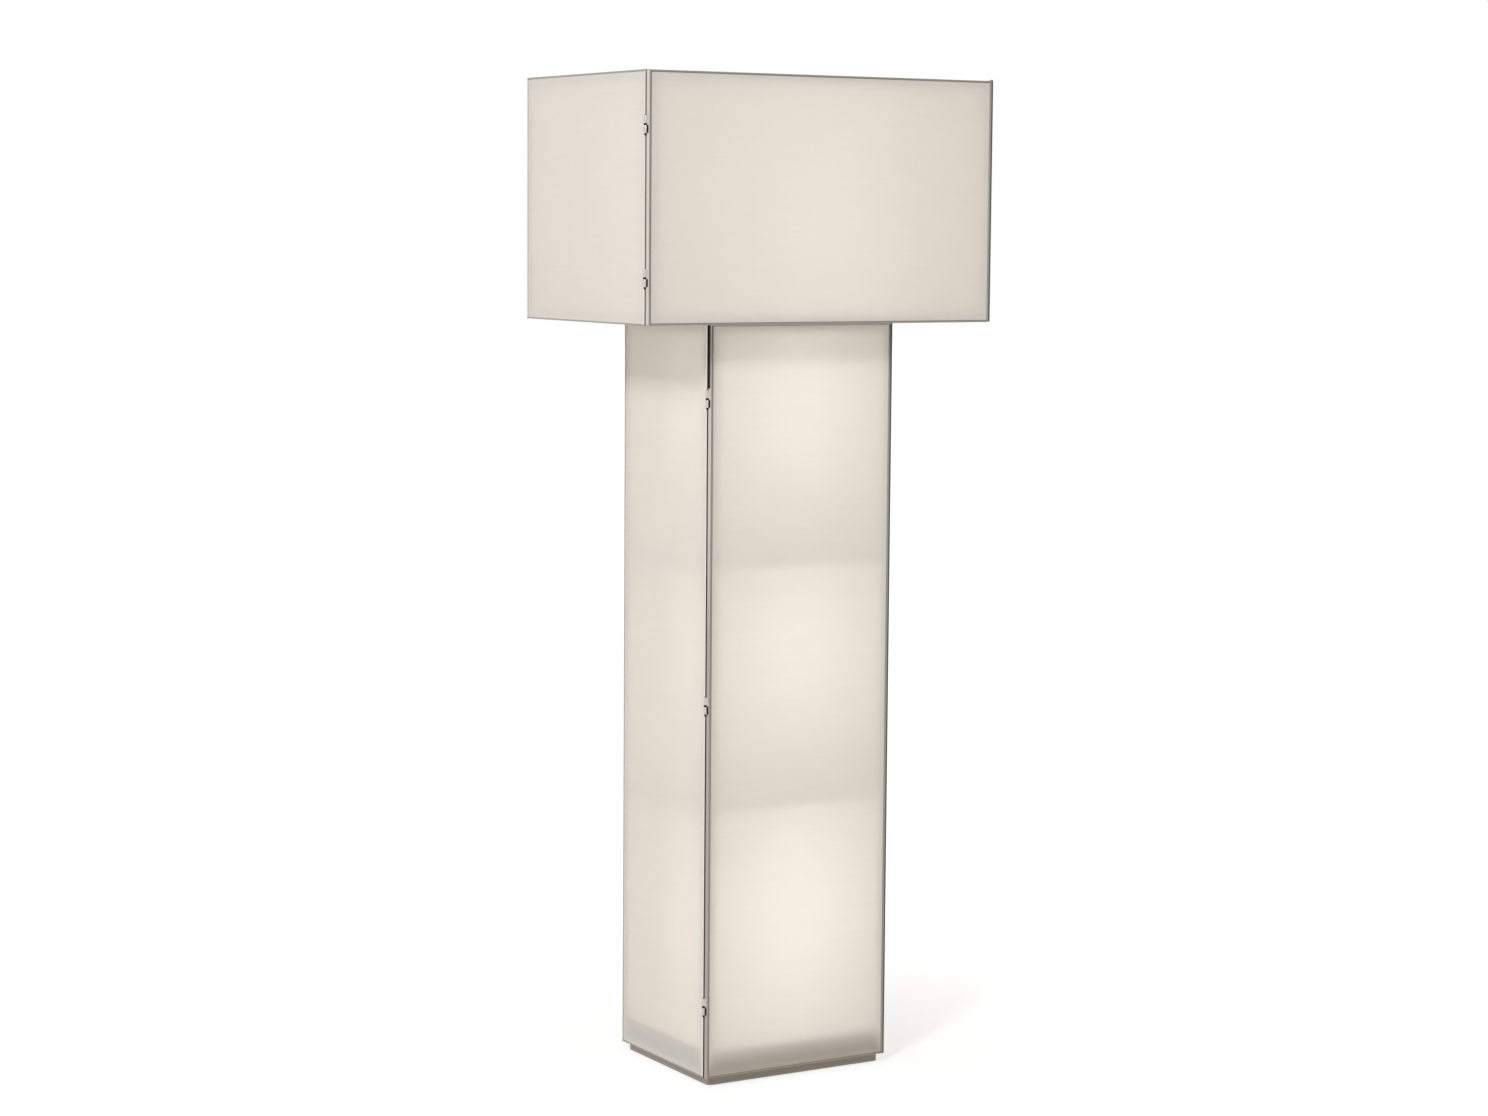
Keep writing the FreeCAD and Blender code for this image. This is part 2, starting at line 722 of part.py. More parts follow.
# ---------------------------------------------------------------- head
def make_head_floor():
    """The steel floor of the head, bolted to the column's top plate."""
    plate = block(-head_width / 2 + frame_depth, head_width / 2 - frame_depth, head_carcass_front,
                  head_back - frame_depth, head_bottom, head_floor_top)
    return plate.cut(wiring_slot(head_bottom, head_floor_top))


def make_head_posts():
    corners = post_corners(head_width / 2, head_carcass_front, head_back)
    return [square_tube("z", head_floor_top, head_rail_top, x, y) for x, y in corners]


def make_head_rails():
    high = ring_of_rails(head_width / 2, head_carcass_front, head_back, head_rail_top - post_size)
    low = ring_of_rails(head_width / 2, head_carcass_front, head_back, head_floor_top)
    return high + low


def make_head_top_panel():
    """The top pane, laid on the rails inside the frames and flush with their tops."""
    limit = head_width / 2 - frame_depth - top_pane_gap
    plate = block(-limit, limit, head_carcass_front, head_back - frame_depth - top_pane_gap,
                  head_rail_top, total_height)
    rim = [e for e in plate.Edges if abs(e.Vertexes[0].Z - total_height) < 1e-6
           and abs(e.Vertexes[-1].Z - total_height) < 1e-6]
    return plate.makeChamfer(0.6, rim)


def hexagon_nut(place, across_flats, height, axis, side):
    """A six-sided prism that stands on a place. side is a direction square to the axis."""
    corner = across_flats / 2 / math.cos(math.radians(30))
    other = axis.cross(side)
    ring = [place + side * (corner * math.cos(math.radians(60 * k)))
            + other * (corner * math.sin(math.radians(60 * k))) for k in range(6)]
    return prism(ring, axis * height)


def make_head_bolts():
    """The heads of the bolts that hold the head's floor to the column's top plate."""
    return [hexagon_nut(Vector(x, y, head_floor_top), bolt_across_flats, bolt_head_height,
                        Vector(0, 0, 1), Vector(1, 0, 0)) for x, y in head_bolt_places()]


def make_head_door_tab():
    """A round-topped finger tab on the free top corner of the head's door."""
    _, u1, _, v1 = head_door_limits()
    rear = head_front + frame_depth - tab_margin
    top = total_height + tab_rise
    tab = block(u1 - tab_width, u1, rear - tab_thickness, rear, v1, top)
    shoulders = [e for e in tab.Edges if e.CenterOfMass.z > top - 1e-6 and abs(e.tangentAt(0).y) > 0.9]
    return tab.makeFillet(tab_width * 0.3, shoulders)


# ---------------------------------------------------------------- the whole lamp
def side_frame_pair(name, limits, half_width, pockets, nodes):
    for side, outer, inward in (("left", -half_width, 1), ("right", half_width, -1)):
        bars = glazed_frame("side", *limits, outer, inward)
        if side == "left":
            bars = with_pockets(bars, pockets)
        nodes[f"{name}_{side}_frame"] = bars
        nodes[f"{name}_{side}_panel"] = [pane("side", *limits, outer, inward)]


def finger_bevel(limits, front):
    """The wedge that comes off the free stile of a door."""
    _, u1, v0, v1 = limits
    corner = [Vector(u1 - finger_bevel_width, front, v0 - 1), Vector(u1 + 1, front - 1, v0 - 1),
              Vector(u1 + 1, front + finger_bevel_depth, v0 - 1), Vector(u1, front + finger_bevel_depth, v0 - 1)]
    lead = Vector(u1 - finger_bevel_width, front - 1, v0 - 1)
    return prism([corner[0], lead] + corner[1:], Vector(0, 0, v1 - v0 + 2))


def door_nodes(name, limits, front, hinges, nodes):
    bars = glazed_frame("front", *limits, front, 1, hinge_stile, handle_stile)
    bevel = finger_bevel(limits, front)
    bars = [bar.cut(bevel) for bar in bars]
    nodes[f"{name}_door_frame"] = with_pockets(bars, [h.door_pocket() for h in hinges])
    nodes[f"{name}_door_panel"] = [pane("front", *limits, front, 1, hinge_stile, handle_stile)]
    nodes[f"{name}_door_knuckles"] = [h.door_knuckle() for h in hinges]
    nodes[f"{name}_hinge_knuckles"] = [h.carcass_knuckle() for h in hinges]
    nodes[f"{name}_hinge_pins"] = [h.pin() for h in hinges]
    nodes[f"{name}_hinge_washers"] = [h.washer() for h in hinges]
    nodes[f"{name}_door_seal"] = make_seal(limits, front)
    nodes[f"{name}_door_catches"] = make_catches(limits, front)


def light_line_nodes(name, back, low, high, nodes):
    channel, strip, diffuser = make_light_line(back, low, high)
    nodes[f"{name}_light_channel"] = [channel]
    nodes[f"{name}_light_strip"] = [strip]
    nodes[f"{name}_light_diffuser"] = [diffuser]


def build():
    nodes = {}
    nodes["plinth"] = [make_plinth()]
    nodes["glides"] = make_glides()
    nodes["base_tray"] = make_base_tray()
    nodes["base_cover"] = [make_base_cover()]
    nodes["ballast_plate"] = [make_ballast_plate()]
    nodes["led_driver"] = [make_led_driver()]
    nodes["service_plate"] = [make_service_plate()]
    nodes["cable_gland"] = [make_cable_gland()]
    nodes["switch_housing"] = [make_switch_housing()]
    nodes["switch_rocker"] = [make_switch_rocker()]

    nodes["column_posts"] = make_column_posts()
    nodes["column_rails"] = make_column_rails()
    column_pockets = [h.carcass_pocket() for h in column_hinges()]
    side_frame_pair("column", column_side_limits(), column_width / 2, column_pockets, nodes)
    nodes["column_back_frame"] = glazed_frame("front", *column_back_limits(), column_back, -1)
    nodes["column_back_panel"] = [pane("front", *column_back_limits(), column_back, -1)]
    nodes["column_top_plate"] = [make_column_top_plate()]
    for number, bottom in enumerate(shelf_bottoms(), start=1):
        nodes[f"shelf_{number}"] = [make_shelf(bottom)]
    nodes["shelf_brackets"] = make_shelf_brackets()
    light_line_nodes("column", column_back, base_top, column_post_top - post_size, nodes)
    door_nodes("column", column_door_limits(), column_front, column_hinges(), nodes)

    nodes["head_floor"] = [make_head_floor()]
    nodes["head_bolts"] = make_head_bolts()
    nodes["head_posts"] = make_head_posts()
    nodes["head_rails"] = make_head_rails()
    head_pockets = [h.carcass_pocket() for h in head_hinges()]
    side_frame_pair("head", head_side_limits(), head_width / 2, head_pockets, nodes)
    nodes["head_back_frame"] = glazed_frame("front", *head_back_limits(), head_back, -1)
    nodes["head_back_panel"] = [pane("front", *head_back_limits(), head_back, -1)]
    nodes["head_top_panel"] = [make_head_top_panel()]
    nodes["head_door_tab"] = [make_head_door_tab()]
    light_line_nodes("head", head_back, head_floor_top + post_size, head_rail_top - post_size, nodes)
    door_nodes("head", head_door_limits(), head_front, head_hinges(), nodes)
    return nodes


os.makedirs("parts", exist_ok=True)
for node, solids in build().items():
    shape = solids[0] if len(solids) == 1 else Part.makeCompound(solids)
    shape.exportStep(f"parts/{node}.step")
    print(f"{node}: {len(shape.Solids)} solids, {shape.Volume / 1000:.1f} cm3")
for hinge in column_hinges() + head_hinges():
    print(f"hinge axis {hinge.axis_x:.2f} {hinge.axis_y:.2f} middle {hinge.low_top + washer_thickness / 2:.2f}")
pivot_point = rocker_pivot()
print(f"rocker pivot {pivot_point.x:.2f} {pivot_point.y:.2f} {pivot_point.z:.2f}")
print("shelf bottoms", [round(z, 2) for z in shelf_bottoms()])
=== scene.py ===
"""Dresses the column floor lamp: finishes for its CAD nodes, the small pieces that the solids leave out,
a plain studio and the camera. Metres, +Z up, +X to the right of someone facing the doors."""

import json
import math

import bmesh
import bpy
from mathutils import Matrix, Vector

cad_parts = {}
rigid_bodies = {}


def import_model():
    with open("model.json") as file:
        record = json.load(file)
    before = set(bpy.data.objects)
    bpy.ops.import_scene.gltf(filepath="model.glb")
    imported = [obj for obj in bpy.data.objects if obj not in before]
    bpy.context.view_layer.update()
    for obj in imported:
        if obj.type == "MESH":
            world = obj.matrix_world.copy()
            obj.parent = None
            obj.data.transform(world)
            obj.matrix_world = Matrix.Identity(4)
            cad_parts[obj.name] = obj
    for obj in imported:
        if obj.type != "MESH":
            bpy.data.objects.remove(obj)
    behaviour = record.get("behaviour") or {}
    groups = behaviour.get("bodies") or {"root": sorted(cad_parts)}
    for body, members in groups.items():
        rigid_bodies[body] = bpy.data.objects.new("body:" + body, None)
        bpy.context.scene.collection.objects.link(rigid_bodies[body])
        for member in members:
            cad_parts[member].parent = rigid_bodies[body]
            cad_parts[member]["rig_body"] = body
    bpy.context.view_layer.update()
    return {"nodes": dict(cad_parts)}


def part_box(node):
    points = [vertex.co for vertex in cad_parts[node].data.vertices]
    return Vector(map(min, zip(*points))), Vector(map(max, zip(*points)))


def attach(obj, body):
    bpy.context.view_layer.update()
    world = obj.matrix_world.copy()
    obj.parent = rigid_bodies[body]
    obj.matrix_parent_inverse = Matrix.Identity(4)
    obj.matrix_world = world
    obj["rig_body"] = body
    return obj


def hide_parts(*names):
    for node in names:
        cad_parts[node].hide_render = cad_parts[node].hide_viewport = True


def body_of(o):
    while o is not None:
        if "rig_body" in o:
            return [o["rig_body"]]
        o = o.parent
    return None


bl_info = {
    "name": "Column Floor Lamp",
    "version": (1, 0, 0),
    "blender": (4, 5, 0),
    "location": "View3D > Sidebar > Lamp",
    "description": "Finishes, small pieces, studio and camera for a glazed column floor lamp",
    "category": "Object",
}

MM = 0.001
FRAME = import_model()
NODES = FRAME["nodes"]
VOLUMES = ("column", "head")

# directions that a face may turn to
FRONT = (0.0, -1.0, 0.0)
HINGE_SIDE = (-1.0, 0.0, 0.0)
FREE_SIDE = (1.0, 0.0, 0.0)

# frames
STILE_COVER = 1.5 * MM          # how far the upright bars cover the edges of a pane
RAIL_COVER = 1.3 * MM           # the same for the level bars
RAIL_LIP = 2.6 * MM             # visible height of the level bars
HIGHLIGHT_RETURN = 1.6 * MM        # how far the painted highlight on a door's hinge edge runs on to its front
OVERHANG_SHADOW_START = 1218 * MM    # above it the column door's hinge side carries black painted shadow of the head's overhang
DOOR_PAINTED_SHADOW = (1200.0, 1300.0)   # heights in mm between which the column's door darkens with painted shadow of the head's overhang
EDGE_PAINTED_SHEEN = (780.0, 1000.0)    # heights in mm between which the painted sheen on its bright edge grows

# panes and base
LOWER_SHADE_FADE = (16.0, 60.0)      # heights in mm between which the painted shade at the foot of the column's door fades out
PANE_EDGE = (1.0 * MM, 14.0 * MM)   # where a pane lets less light through, from its edge inwards
PLINTH_PAINTED_SHADE = (0.0, 15.0)       # heights in mm between which the plinth's painted shade near the floor gives way to its paler tone

# hinges: dark nylon caps under the barrels, collars over the washers and pads on the doors' edges, as painted
# shade of the pockets and the joint
CAP_HEIGHT = 3.6 * MM
CAP_RADIUS = 2.6 * MM
COLLAR_HEIGHT = 3.6 * MM
COLLAR_WALL = 0.35 * MM
COLLAR_RISE = 1.0 * MM          # from the top of the fixed knuckle to the collar's middle
PAD_THICKNESS = 0.4 * MM
PAD_MARGIN = 0.4 * MM           # above and below, inside the fixed knuckle's height
PAD_FRONT = 0.5 * MM            # behind the door's front face
PAD_CLEARANCE = 0.9 * MM        # in front of the barrel
STRIP_THICKNESS = 0.3 * MM      # black strip of painted shadow above the column's top hinge
STRIP_FRONT = 0.6 * MM
STRIP_BACK = 0.3 * MM
STRIP_TOP = 1.0 * MM

# light lines
CHIP_THICKNESS = 0.8 * MM
LAMP_GAP = 1.5 * MM             # from the diffuser's front to the forward lamps
LAMP_SHARE = 0.7                # their width as a share of the diffuser's
LAMP_SPREAD = math.radians(120)
LOWEST_DARK_SHARE = 0.4         # the lowest compartment's dark run as a share of the others'
HEAD_SHORTFALL = 60 * MM        # the head's run stops below its top pane, which would show a bright patch

# base and inside
SCREW_INSET = 32 * MM           # twice as much from front and back
SCREW_HEIGHT = 1.4 * MM
SCREW_TAPER = 0.72
MARK_HALF_WIDTH = 0.35 * MM
MARK_DEPTH = (2.0 * MM, 1.9 * MM)   # in front of the rocker's rearmost point
MARK_HEIGHT = (2.8 * MM, 5.2 * MM)  # above its lowest point
FACING = 0.15 * MM              # white facing on the door seals
FACING_WIDTH = 4.0 * MM

# studio
KEY_PLACE = (-5.8, -4.15, 5.3)
KEY_TARGET = (0.0, 0.0, 1.2)
KEY_SIZE = 1.3
KEY_WATTS = 357.0
KEY_COLOUR = (0.93, 0.97, 1.0)
SURROUND_COLOUR = (1.0, 0.92, 0.80)
SURROUND_STRENGTH = 0.41
WHITE = (1.0, 1.0, 1.0)
FLOOR_GLOW = 1.36               # white that the camera sees in the floor besides its own shade
GLOW_REACH = (0.3, 1.3)         # metres from the foot between which the white gains on the shadow
GLOW_SHARE = (0.5, 0.8)
CAMERA_PLACE = (-2.93738, -4.91942, 1.50195)
CAMERA_ANGLES = (30.6237, 5.9466, 0.4270)   # degrees of yaw, pitch and roll


def to_linear(hex_colour):
    """An sRGB hex value as three linear numbers."""
    channels = [int(hex_colour[i:i + 2], 16) / 255 for i in (1, 3, 5)]
    return tuple(((c + 0.055) / 1.055) ** 2.4 if c > 0.04045 else c / 12.92 for c in channels)


def colour_setting(name, description, hex_colour):
    return bpy.props.FloatVectorProperty(name=name, description=description, subtype="COLOR", size=3,
                                         min=0.0, max=1.0, default=to_linear(hex_colour))


def length_setting(name, description, millimetres):
    return bpy.props.FloatProperty(name=name, description=description, subtype="DISTANCE", unit="LENGTH",
                                   min=0.0, default=millimetres * MM)


class LampFinishes(bpy.types.PropertyGroup):
    pane_colour: colour_setting("Pane", "Body colour of the satin opal glass", "#F7F4F0")
    lower_shade_colour: colour_setting("Lower painted shade", "Painted shade at the foot of the column's door, where the base stands behind it", "#D2C8BC")
    shelf_colour: colour_setting("Shelf", "Tint of the frosted float glass shelves", "#EDF1EC")
    frame_colour: colour_setting("Carcass frames", "Anodised aluminium of the fixed frames", "#EAE5E0")
    rail_shade_colour: colour_setting("Carcass rails", "Level bars of the fixed frames, darker as painted shade", "#A8A19A")
    column_gap_shade_colour: colour_setting("Column gap shade", "Painted shade on the edge that the column's door closes against", "#5E5852")
    head_gap_shade_colour: colour_setting("Head gap shade", "Painted shade on the edge that the head's door closes against", "#8F887F")
    overhang_shadow_colour: colour_setting("Overhang shadow", "Painted shadow on the edge and strip above the column's top hinge", "#1C1917")
    door_shade_colour: colour_setting("Door frames", "Anodised aluminium of the door frames, darker as painted shade on their front faces", "#968E86")
    free_edge_shade_colour: colour_setting("Finger bevels", "Painted shade on the bevel along a door's free edge", "#4C4640")
    hinge_edge_highlight_colour: colour_setting("Door edge highlight", "Painted highlight on the hinge edges of the door frames", "#DDD6D0")
    hinge_colour: colour_setting("Hinge", "Satin stainless steel of the hinges", "#C9C2BC")
    base_colour: colour_setting("Base", "Powder coat of the plinth and service plate", "#A0968B")
    lacquer_colour: colour_setting("Inside", "White lacquer of the posts, rails and plates", "#F0EDE8")
    rubber_colour: colour_setting("Rubber", "Seals and glides", "#3A3632")
    plastic_colour: colour_setting("Plastic", "Switch, gland and driver", "#232120")
    light_colour: colour_setting("Light", "Colour of the light lines", "#FFFFFF")
    light_strength: bpy.props.FloatProperty(
        name="Light strength", description="Emission of the diffusers", min=0.0, default=3.2)
    forward_colour: colour_setting("Forward light", "Colour of the light thrown at the doors", "#FFFFFF")
    column_forward: bpy.props.FloatProperty(
        name="Column light", description="Watts of forward light on each metre of the column's line",
        min=0.0, default=1.16)
    head_forward: bpy.props.FloatProperty(
        name="Head light", description="Watts of forward light on each metre of the head's line",
        min=0.0, default=1.2)
    pane_translucency: bpy.props.FloatProperty(
        name="Pane translucency", description="Share of light that a pane's face lets through",
        min=0.0, max=1.0, subtype="FACTOR", default=0.5)


class LampDetails(bpy.types.PropertyGroup):
    gasket_width: length_setting("Gasket width", "Glazing gasket between lip and pane", 0.7)
    hinge_gasket: length_setting("Hinge-side gasket", "Gasket along a door's hinge side", 1.3)
    gasket_height: length_setting("Gasket height", "How far the gasket stands on the pane", 0.6)
    knuckle_bevel: length_setting("Knuckle bevel", "Broken edges of the hinge knuckles", 0.3)
    chip_size: length_setting("Chip size", "Side of one LED on the strips", 2.8)
    chip_pitch: length_setting("Chip pitch", "Distance between LEDs", 16.6)
    dark_run: length_setting("Dark run", "Unlit length of light line above a shelf", 150)
    cover_screw_radius: length_setting("Cover screw", "Radius of the pan heads on the base cover", 2.9)


class LampStudio(bpy.types.PropertyGroup):
    floor_size: length_setting("Floor", "Side of the square floor", 60000)
    floor_colour: colour_setting("Floor colour", "Matt paper floor", "#FAFAFA")
    lens: bpy.props.FloatProperty(
        name="Lens", description="Focal length for a 36 mm wide picture", subtype="DISTANCE_CAMERA",
        min=1.0, default=78.207)


# ---------------------------------------------------------------- nodes of a material
def add_node(tree, kind, settings=None, **links):
    """Adds a node. settings are its own fields; links go to its inputs, as sockets or as plain values."""
    node = tree.nodes.new(kind)
    for name, value in (settings or {}).items():
        setattr(node, name, value)
    for name, value in links.items():
        key = int(name[1:]) if name[0] == "i" and name[1:].isdigit() else name.replace("_", " ")
        socket = node.inputs[key]
        if isinstance(value, bpy.types.NodeSocket):
            tree.links.new(value, socket)
        elif hasattr(value, "__len__") and len(value) == 3 and len(socket.default_value) == 4:
            socket.default_value = (*value, 1.0)
        else:
            socket.default_value = value
    return node


def start_material(name):
    """A material with nothing in it but an output."""
    material = bpy.data.materials.new(name)
    material.use_nodes = True
    material.node_tree.nodes.clear()
    output = material.node_tree.nodes.new("ShaderNodeOutputMaterial")
    return material, material.node_tree, output


def object_place(tree):
    return add_node(tree, "ShaderNodeTexCoord").outputs["Object"]


def scaled(tree, millimetres, stretch=(1.0, 1.0, 1.0)):
    """Object coordinates in which one unit is a real length."""
    scale = tuple(1.0 / (millimetres * MM * s) for s in stretch)
    return add_node(tree, "ShaderNodeMapping", Vector=object_place(tree), Scale=scale).outputs["Vector"]


def noise(tree, millimetres, stretch=(1.0, 1.0, 1.0), detail=2.0):
    """A noise pattern whose grain has a real size."""
    pattern = add_node(tree, "ShaderNodeTexNoise", Vector=scaled(tree, millimetres, stretch), Scale=1.0,
                       Detail=detail)
    return pattern.outputs["Fac"]


def two_tone(tree, colour, factor, darker, lighter):
    """The colour a little darker or lighter, as a pattern says."""
    low = tuple(c * darker for c in colour)
    high = tuple(min(1.0, c * lighter) for c in colour)
    ramp = add_node(tree, "ShaderNodeValToRGB", Fac=factor)
    ramp.color_ramp.elements[0].color = (*low, 1.0)
    ramp.color_ramp.elements[1].color = (*high, 1.0)
    return ramp.outputs["Color"]


def mixed_colour(tree, factor, first, second):
    """The first colour where the factor is 0 and the second where it is 1."""
    return add_node(tree, "ShaderNodeMix", {"data_type": "RGBA"}, i0=factor, i6=first, i7=second).outputs[2]


def mixed_shader(tree, factor, first, second):
    """The first shader where the factor is 0 and the second where it is 1."""
    return add_node(tree, "ShaderNodeMixShader", i0=factor, i1=first, i2=second).outputs["Shader"]


def toned(tree, colour, amount):
    """The colour times an amount."""
    return add_node(tree, "ShaderNodeVectorMath", {"operation": "SCALE"}, i0=colour,
                    Scale=amount).outputs["Vector"]


def combined(tree, operation, *values):
    """One Math node's answer."""
    inputs = {f"i{number}": value for number, value in enumerate(values)}
    return add_node(tree, "ShaderNodeMath", {"operation": operation}, **inputs).outputs["Value"]


def bumped(tree, pattern, strength, distance):
    """Normals that follow a pattern; the distance is in metres."""
    return add_node(tree, "ShaderNodeBump", Strength=strength, Distance=distance,
                    Height=pattern).outputs["Normal"]


def height_range(tree, low, high, first, last):
    """A value that runs from first to last between two heights in millimetres."""
    parts = add_node(tree, "ShaderNodeSeparateXYZ", Vector=object_place(tree)).outputs
    return add_node(tree, "ShaderNodeMapRange", Value=parts["Z"], From_Min=low * MM, From_Max=high * MM,
                    To_Min=first, To_Max=last).outputs["Result"]


def facing(tree, direction, low, high):
    """0 to 1 as a face turns towards a direction, between two cosines."""
    normal = add_node(tree, "ShaderNodeTexCoord").outputs["Normal"]
    cosine = add_node(tree, "ShaderNodeVectorMath", {"operation": "DOT_PRODUCT"}, i0=normal, i1=direction)
    return add_node(tree, "ShaderNodeMapRange", Value=cosine.outputs["Value"], From_Min=low,
                    From_Max=high).outputs["Result"]


def within(tree, axis, bands):
    """1 where the point lies in one of some bands along an axis, each a start and an end in metres."""
    place = add_node(tree, "ShaderNodeSeparateXYZ", Vector=object_place(tree)).outputs[axis]
    total = 0.0
    for start, end in bands:
        inside = combined(tree, "COMPARE", place, (start + end) / 2, (end - start) / 2)
        total = combined(tree, "ADD", total, inside)
    return total


def thin_axis(low, high):
    """The axis along which a box is thinnest."""
    return min(range(3), key=lambda axis: high[axis] - low[axis])


def edge_distance(tree, node):
    """How far a point of a pane is from the pane's nearest edge, in metres."""
    low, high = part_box(node)
    # a metre on each side of the thickness keeps that direction out of the answer
    aside = Vector((0.0, 0.0, 0.0))
    aside[thin_axis(low, high)] = 1.0
    place = object_place(tree)
    to_low = add_node(tree, "ShaderNodeVectorMath", {"operation": "SUBTRACT"}, i0=place, i1=low - aside)
    to_high = add_node(tree, "ShaderNodeVectorMath", {"operation": "SUBTRACT"}, i0=high + aside, i1=place)
    nearer = add_node(tree, "ShaderNodeVectorMath", {"operation": "MINIMUM"}, i0=to_low.outputs["Vector"],
                      i1=to_high.outputs["Vector"])
    parts = add_node(tree, "ShaderNodeSeparateXYZ", Vector=nearer.outputs["Vector"]).outputs
    return combined(tree, "MINIMUM", combined(tree, "MINIMUM", parts["X"], parts["Y"]), parts["Z"])


# ---------------------------------------------------------------- materials
def patterned(name, tint, pattern, tones, bump=None, **surface):
    """A material whose colour varies a little with a noise pattern, and may carry it as a bump.
    pattern holds noise's settings and bump a strength and a distance."""
    material, tree, output = start_material(name)
    grain = noise(tree, *pattern)
    colour = two_tone(tree, tint, grain, *tones)
    if bump:
        surface["Normal"] = bumped(tree, grain, *bump)
    body = add_node(tree, "ShaderNodeBsdfPrincipled", Base_Color=colour, **surface)
    tree.links.new(body.outputs["BSDF"], output.inputs["Surface"])
    return material


def satin_opal_glass(finishes, node):
    """Laminated float glass with an opal film between its sheets and an acid-etched outer face: a
    milky body that lets light through without a view, with a soft sheen and a faint drawn grain.
    Less light comes through near its edges, and the column's door carries painted shade near its foot, where the
    base stands behind it."""
    material, tree, output = start_material("Satin opal laminated glass")
    # the film's grain runs level, about 5 mm apart: drawn as coarse as it needs to show
    grain = noise(tree, 5.0, (22.0, 22.0, 1.0), 3.0)
    colour = two_tone(tree, finishes.pane_colour, grain, 0.975, 1.012)
    if node == "column_door_panel":
        # painted shade: the column's door darkens towards its foot, where no light comes from inside
        border = height_range(tree, *LOWER_SHADE_FADE, 1.0, 0.0)
        colour = mixed_colour(tree, border, colour, tuple(finishes.lower_shade_colour))
    body = add_node(tree, "ShaderNodeBsdfPrincipled", Base_Color=colour, Roughness=0.42, IOR=1.5,
                    Normal=bumped(tree, grain, 0.04, 0.0003))
    through = add_node(tree, "ShaderNodeBsdfTranslucent", Color=colour)
    share = add_node(tree, "ShaderNodeMapRange", Value=edge_distance(tree, node), From_Min=PANE_EDGE[0],
                     From_Max=PANE_EDGE[1], To_Min=finishes.pane_translucency * 0.45,
                     To_Max=finishes.pane_translucency)
    mixed = mixed_shader(tree, share.outputs["Result"], body.outputs["BSDF"], through.outputs["BSDF"])
    tree.links.new(mixed, output.inputs["Surface"])
    return material


def frosted_float_glass(finishes):
    """Toughened float glass, sandblasted on both faces: pale, with a cool tint."""
    material, tree, output = start_material("Frosted float glass")
    colour = two_tone(tree, finishes.shelf_colour, noise(tree, 9.0), 0.97, 1.0)
    body = add_node(tree, "ShaderNodeBsdfPrincipled", Base_Color=colour, Roughness=0.5, IOR=1.5)
    through = add_node(tree, "ShaderNodeBsdfTranslucent", Color=colour)
    mixed = mixed_shader(tree, 0.6, body.outputs["BSDF"], through.outputs["BSDF"])
    tree.links.new(mixed, output.inputs["Surface"])
    return material


def drawn_metal(tree, colour, roughness, strength=1.0):
    """Anodised aluminium with fine drawn lines, as a shader."""
    # extrusion lines, about 0.4 mm apart, run upright on stiles; drawn at 2 mm so that they show
    lines = noise(tree, 2.0, (1.0, 1.0, 60.0))
    streak = add_node(tree, "ShaderNodeMapRange", Value=lines, To_Min=0.93, To_Max=1.05).outputs["Result"]
    # strength scales the tone, and carries painted shadow where it is below 1
    tone = toned(tree, colour, combined(tree, "MULTIPLY", streak, strength))
    rough = add_node(tree, "ShaderNodeMapRange", Value=lines, To_Min=roughness - 0.05, To_Max=roughness + 0.05)
    metal = add_node(tree, "ShaderNodeBsdfPrincipled", Base_Color=tone, Metallic=0.8,
                     Roughness=rough.outputs["Result"])
    return metal.outputs["BSDF"]


def carcass_aluminium(finishes):
    """Extruded aluminium, satin anodised in a warm champagne grey, darker on the rails than on the
    stiles as painted shade. The edge that a door closes against carries painted shade for the gap:
    grey, black as painted shadow above the column's top hinge, paler on the head."""
    material, tree, output = start_material("Satin anodised aluminium, painted gap shade")
    stile, rail = tuple(finishes.frame_colour), tuple(finishes.rail_shade_colour)
    foot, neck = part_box("column_left_frame")[0].z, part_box("head_left_frame")[0].z
    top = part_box("head_left_frame")[1].z
    # painted shade: the level bars are darker than the stiles
    rails = within(tree, "Z", [(foot, foot + RAIL_LIP), (neck, neck + RAIL_LIP), (top - RAIL_LIP, top)])
    metal = drawn_metal(tree, mixed_colour(tree, rails, stile, rail), 0.47)
    # black above the column's top hinge: painted shadow of the head's overhang
    column_tape = mixed_colour(tree, within(tree, "Z", [(OVERHANG_SHADOW_START, neck)]),
                               tuple(finishes.column_gap_shade_colour), tuple(finishes.overhang_shadow_colour))
    # painted shade for the gap between door and carcass, on the edge that faces the door
    tape = mixed_colour(tree, within(tree, "Z", [(neck, top)]), column_tape, tuple(finishes.head_gap_shade_colour))
    flock = add_node(tree, "ShaderNodeBsdfDiffuse", Color=tape)
    mixed = mixed_shader(tree, facing(tree, FRONT, 0.7, 0.75), metal, flock.outputs["BSDF"])
    tree.links.new(mixed, output.inputs["Surface"])
    return material


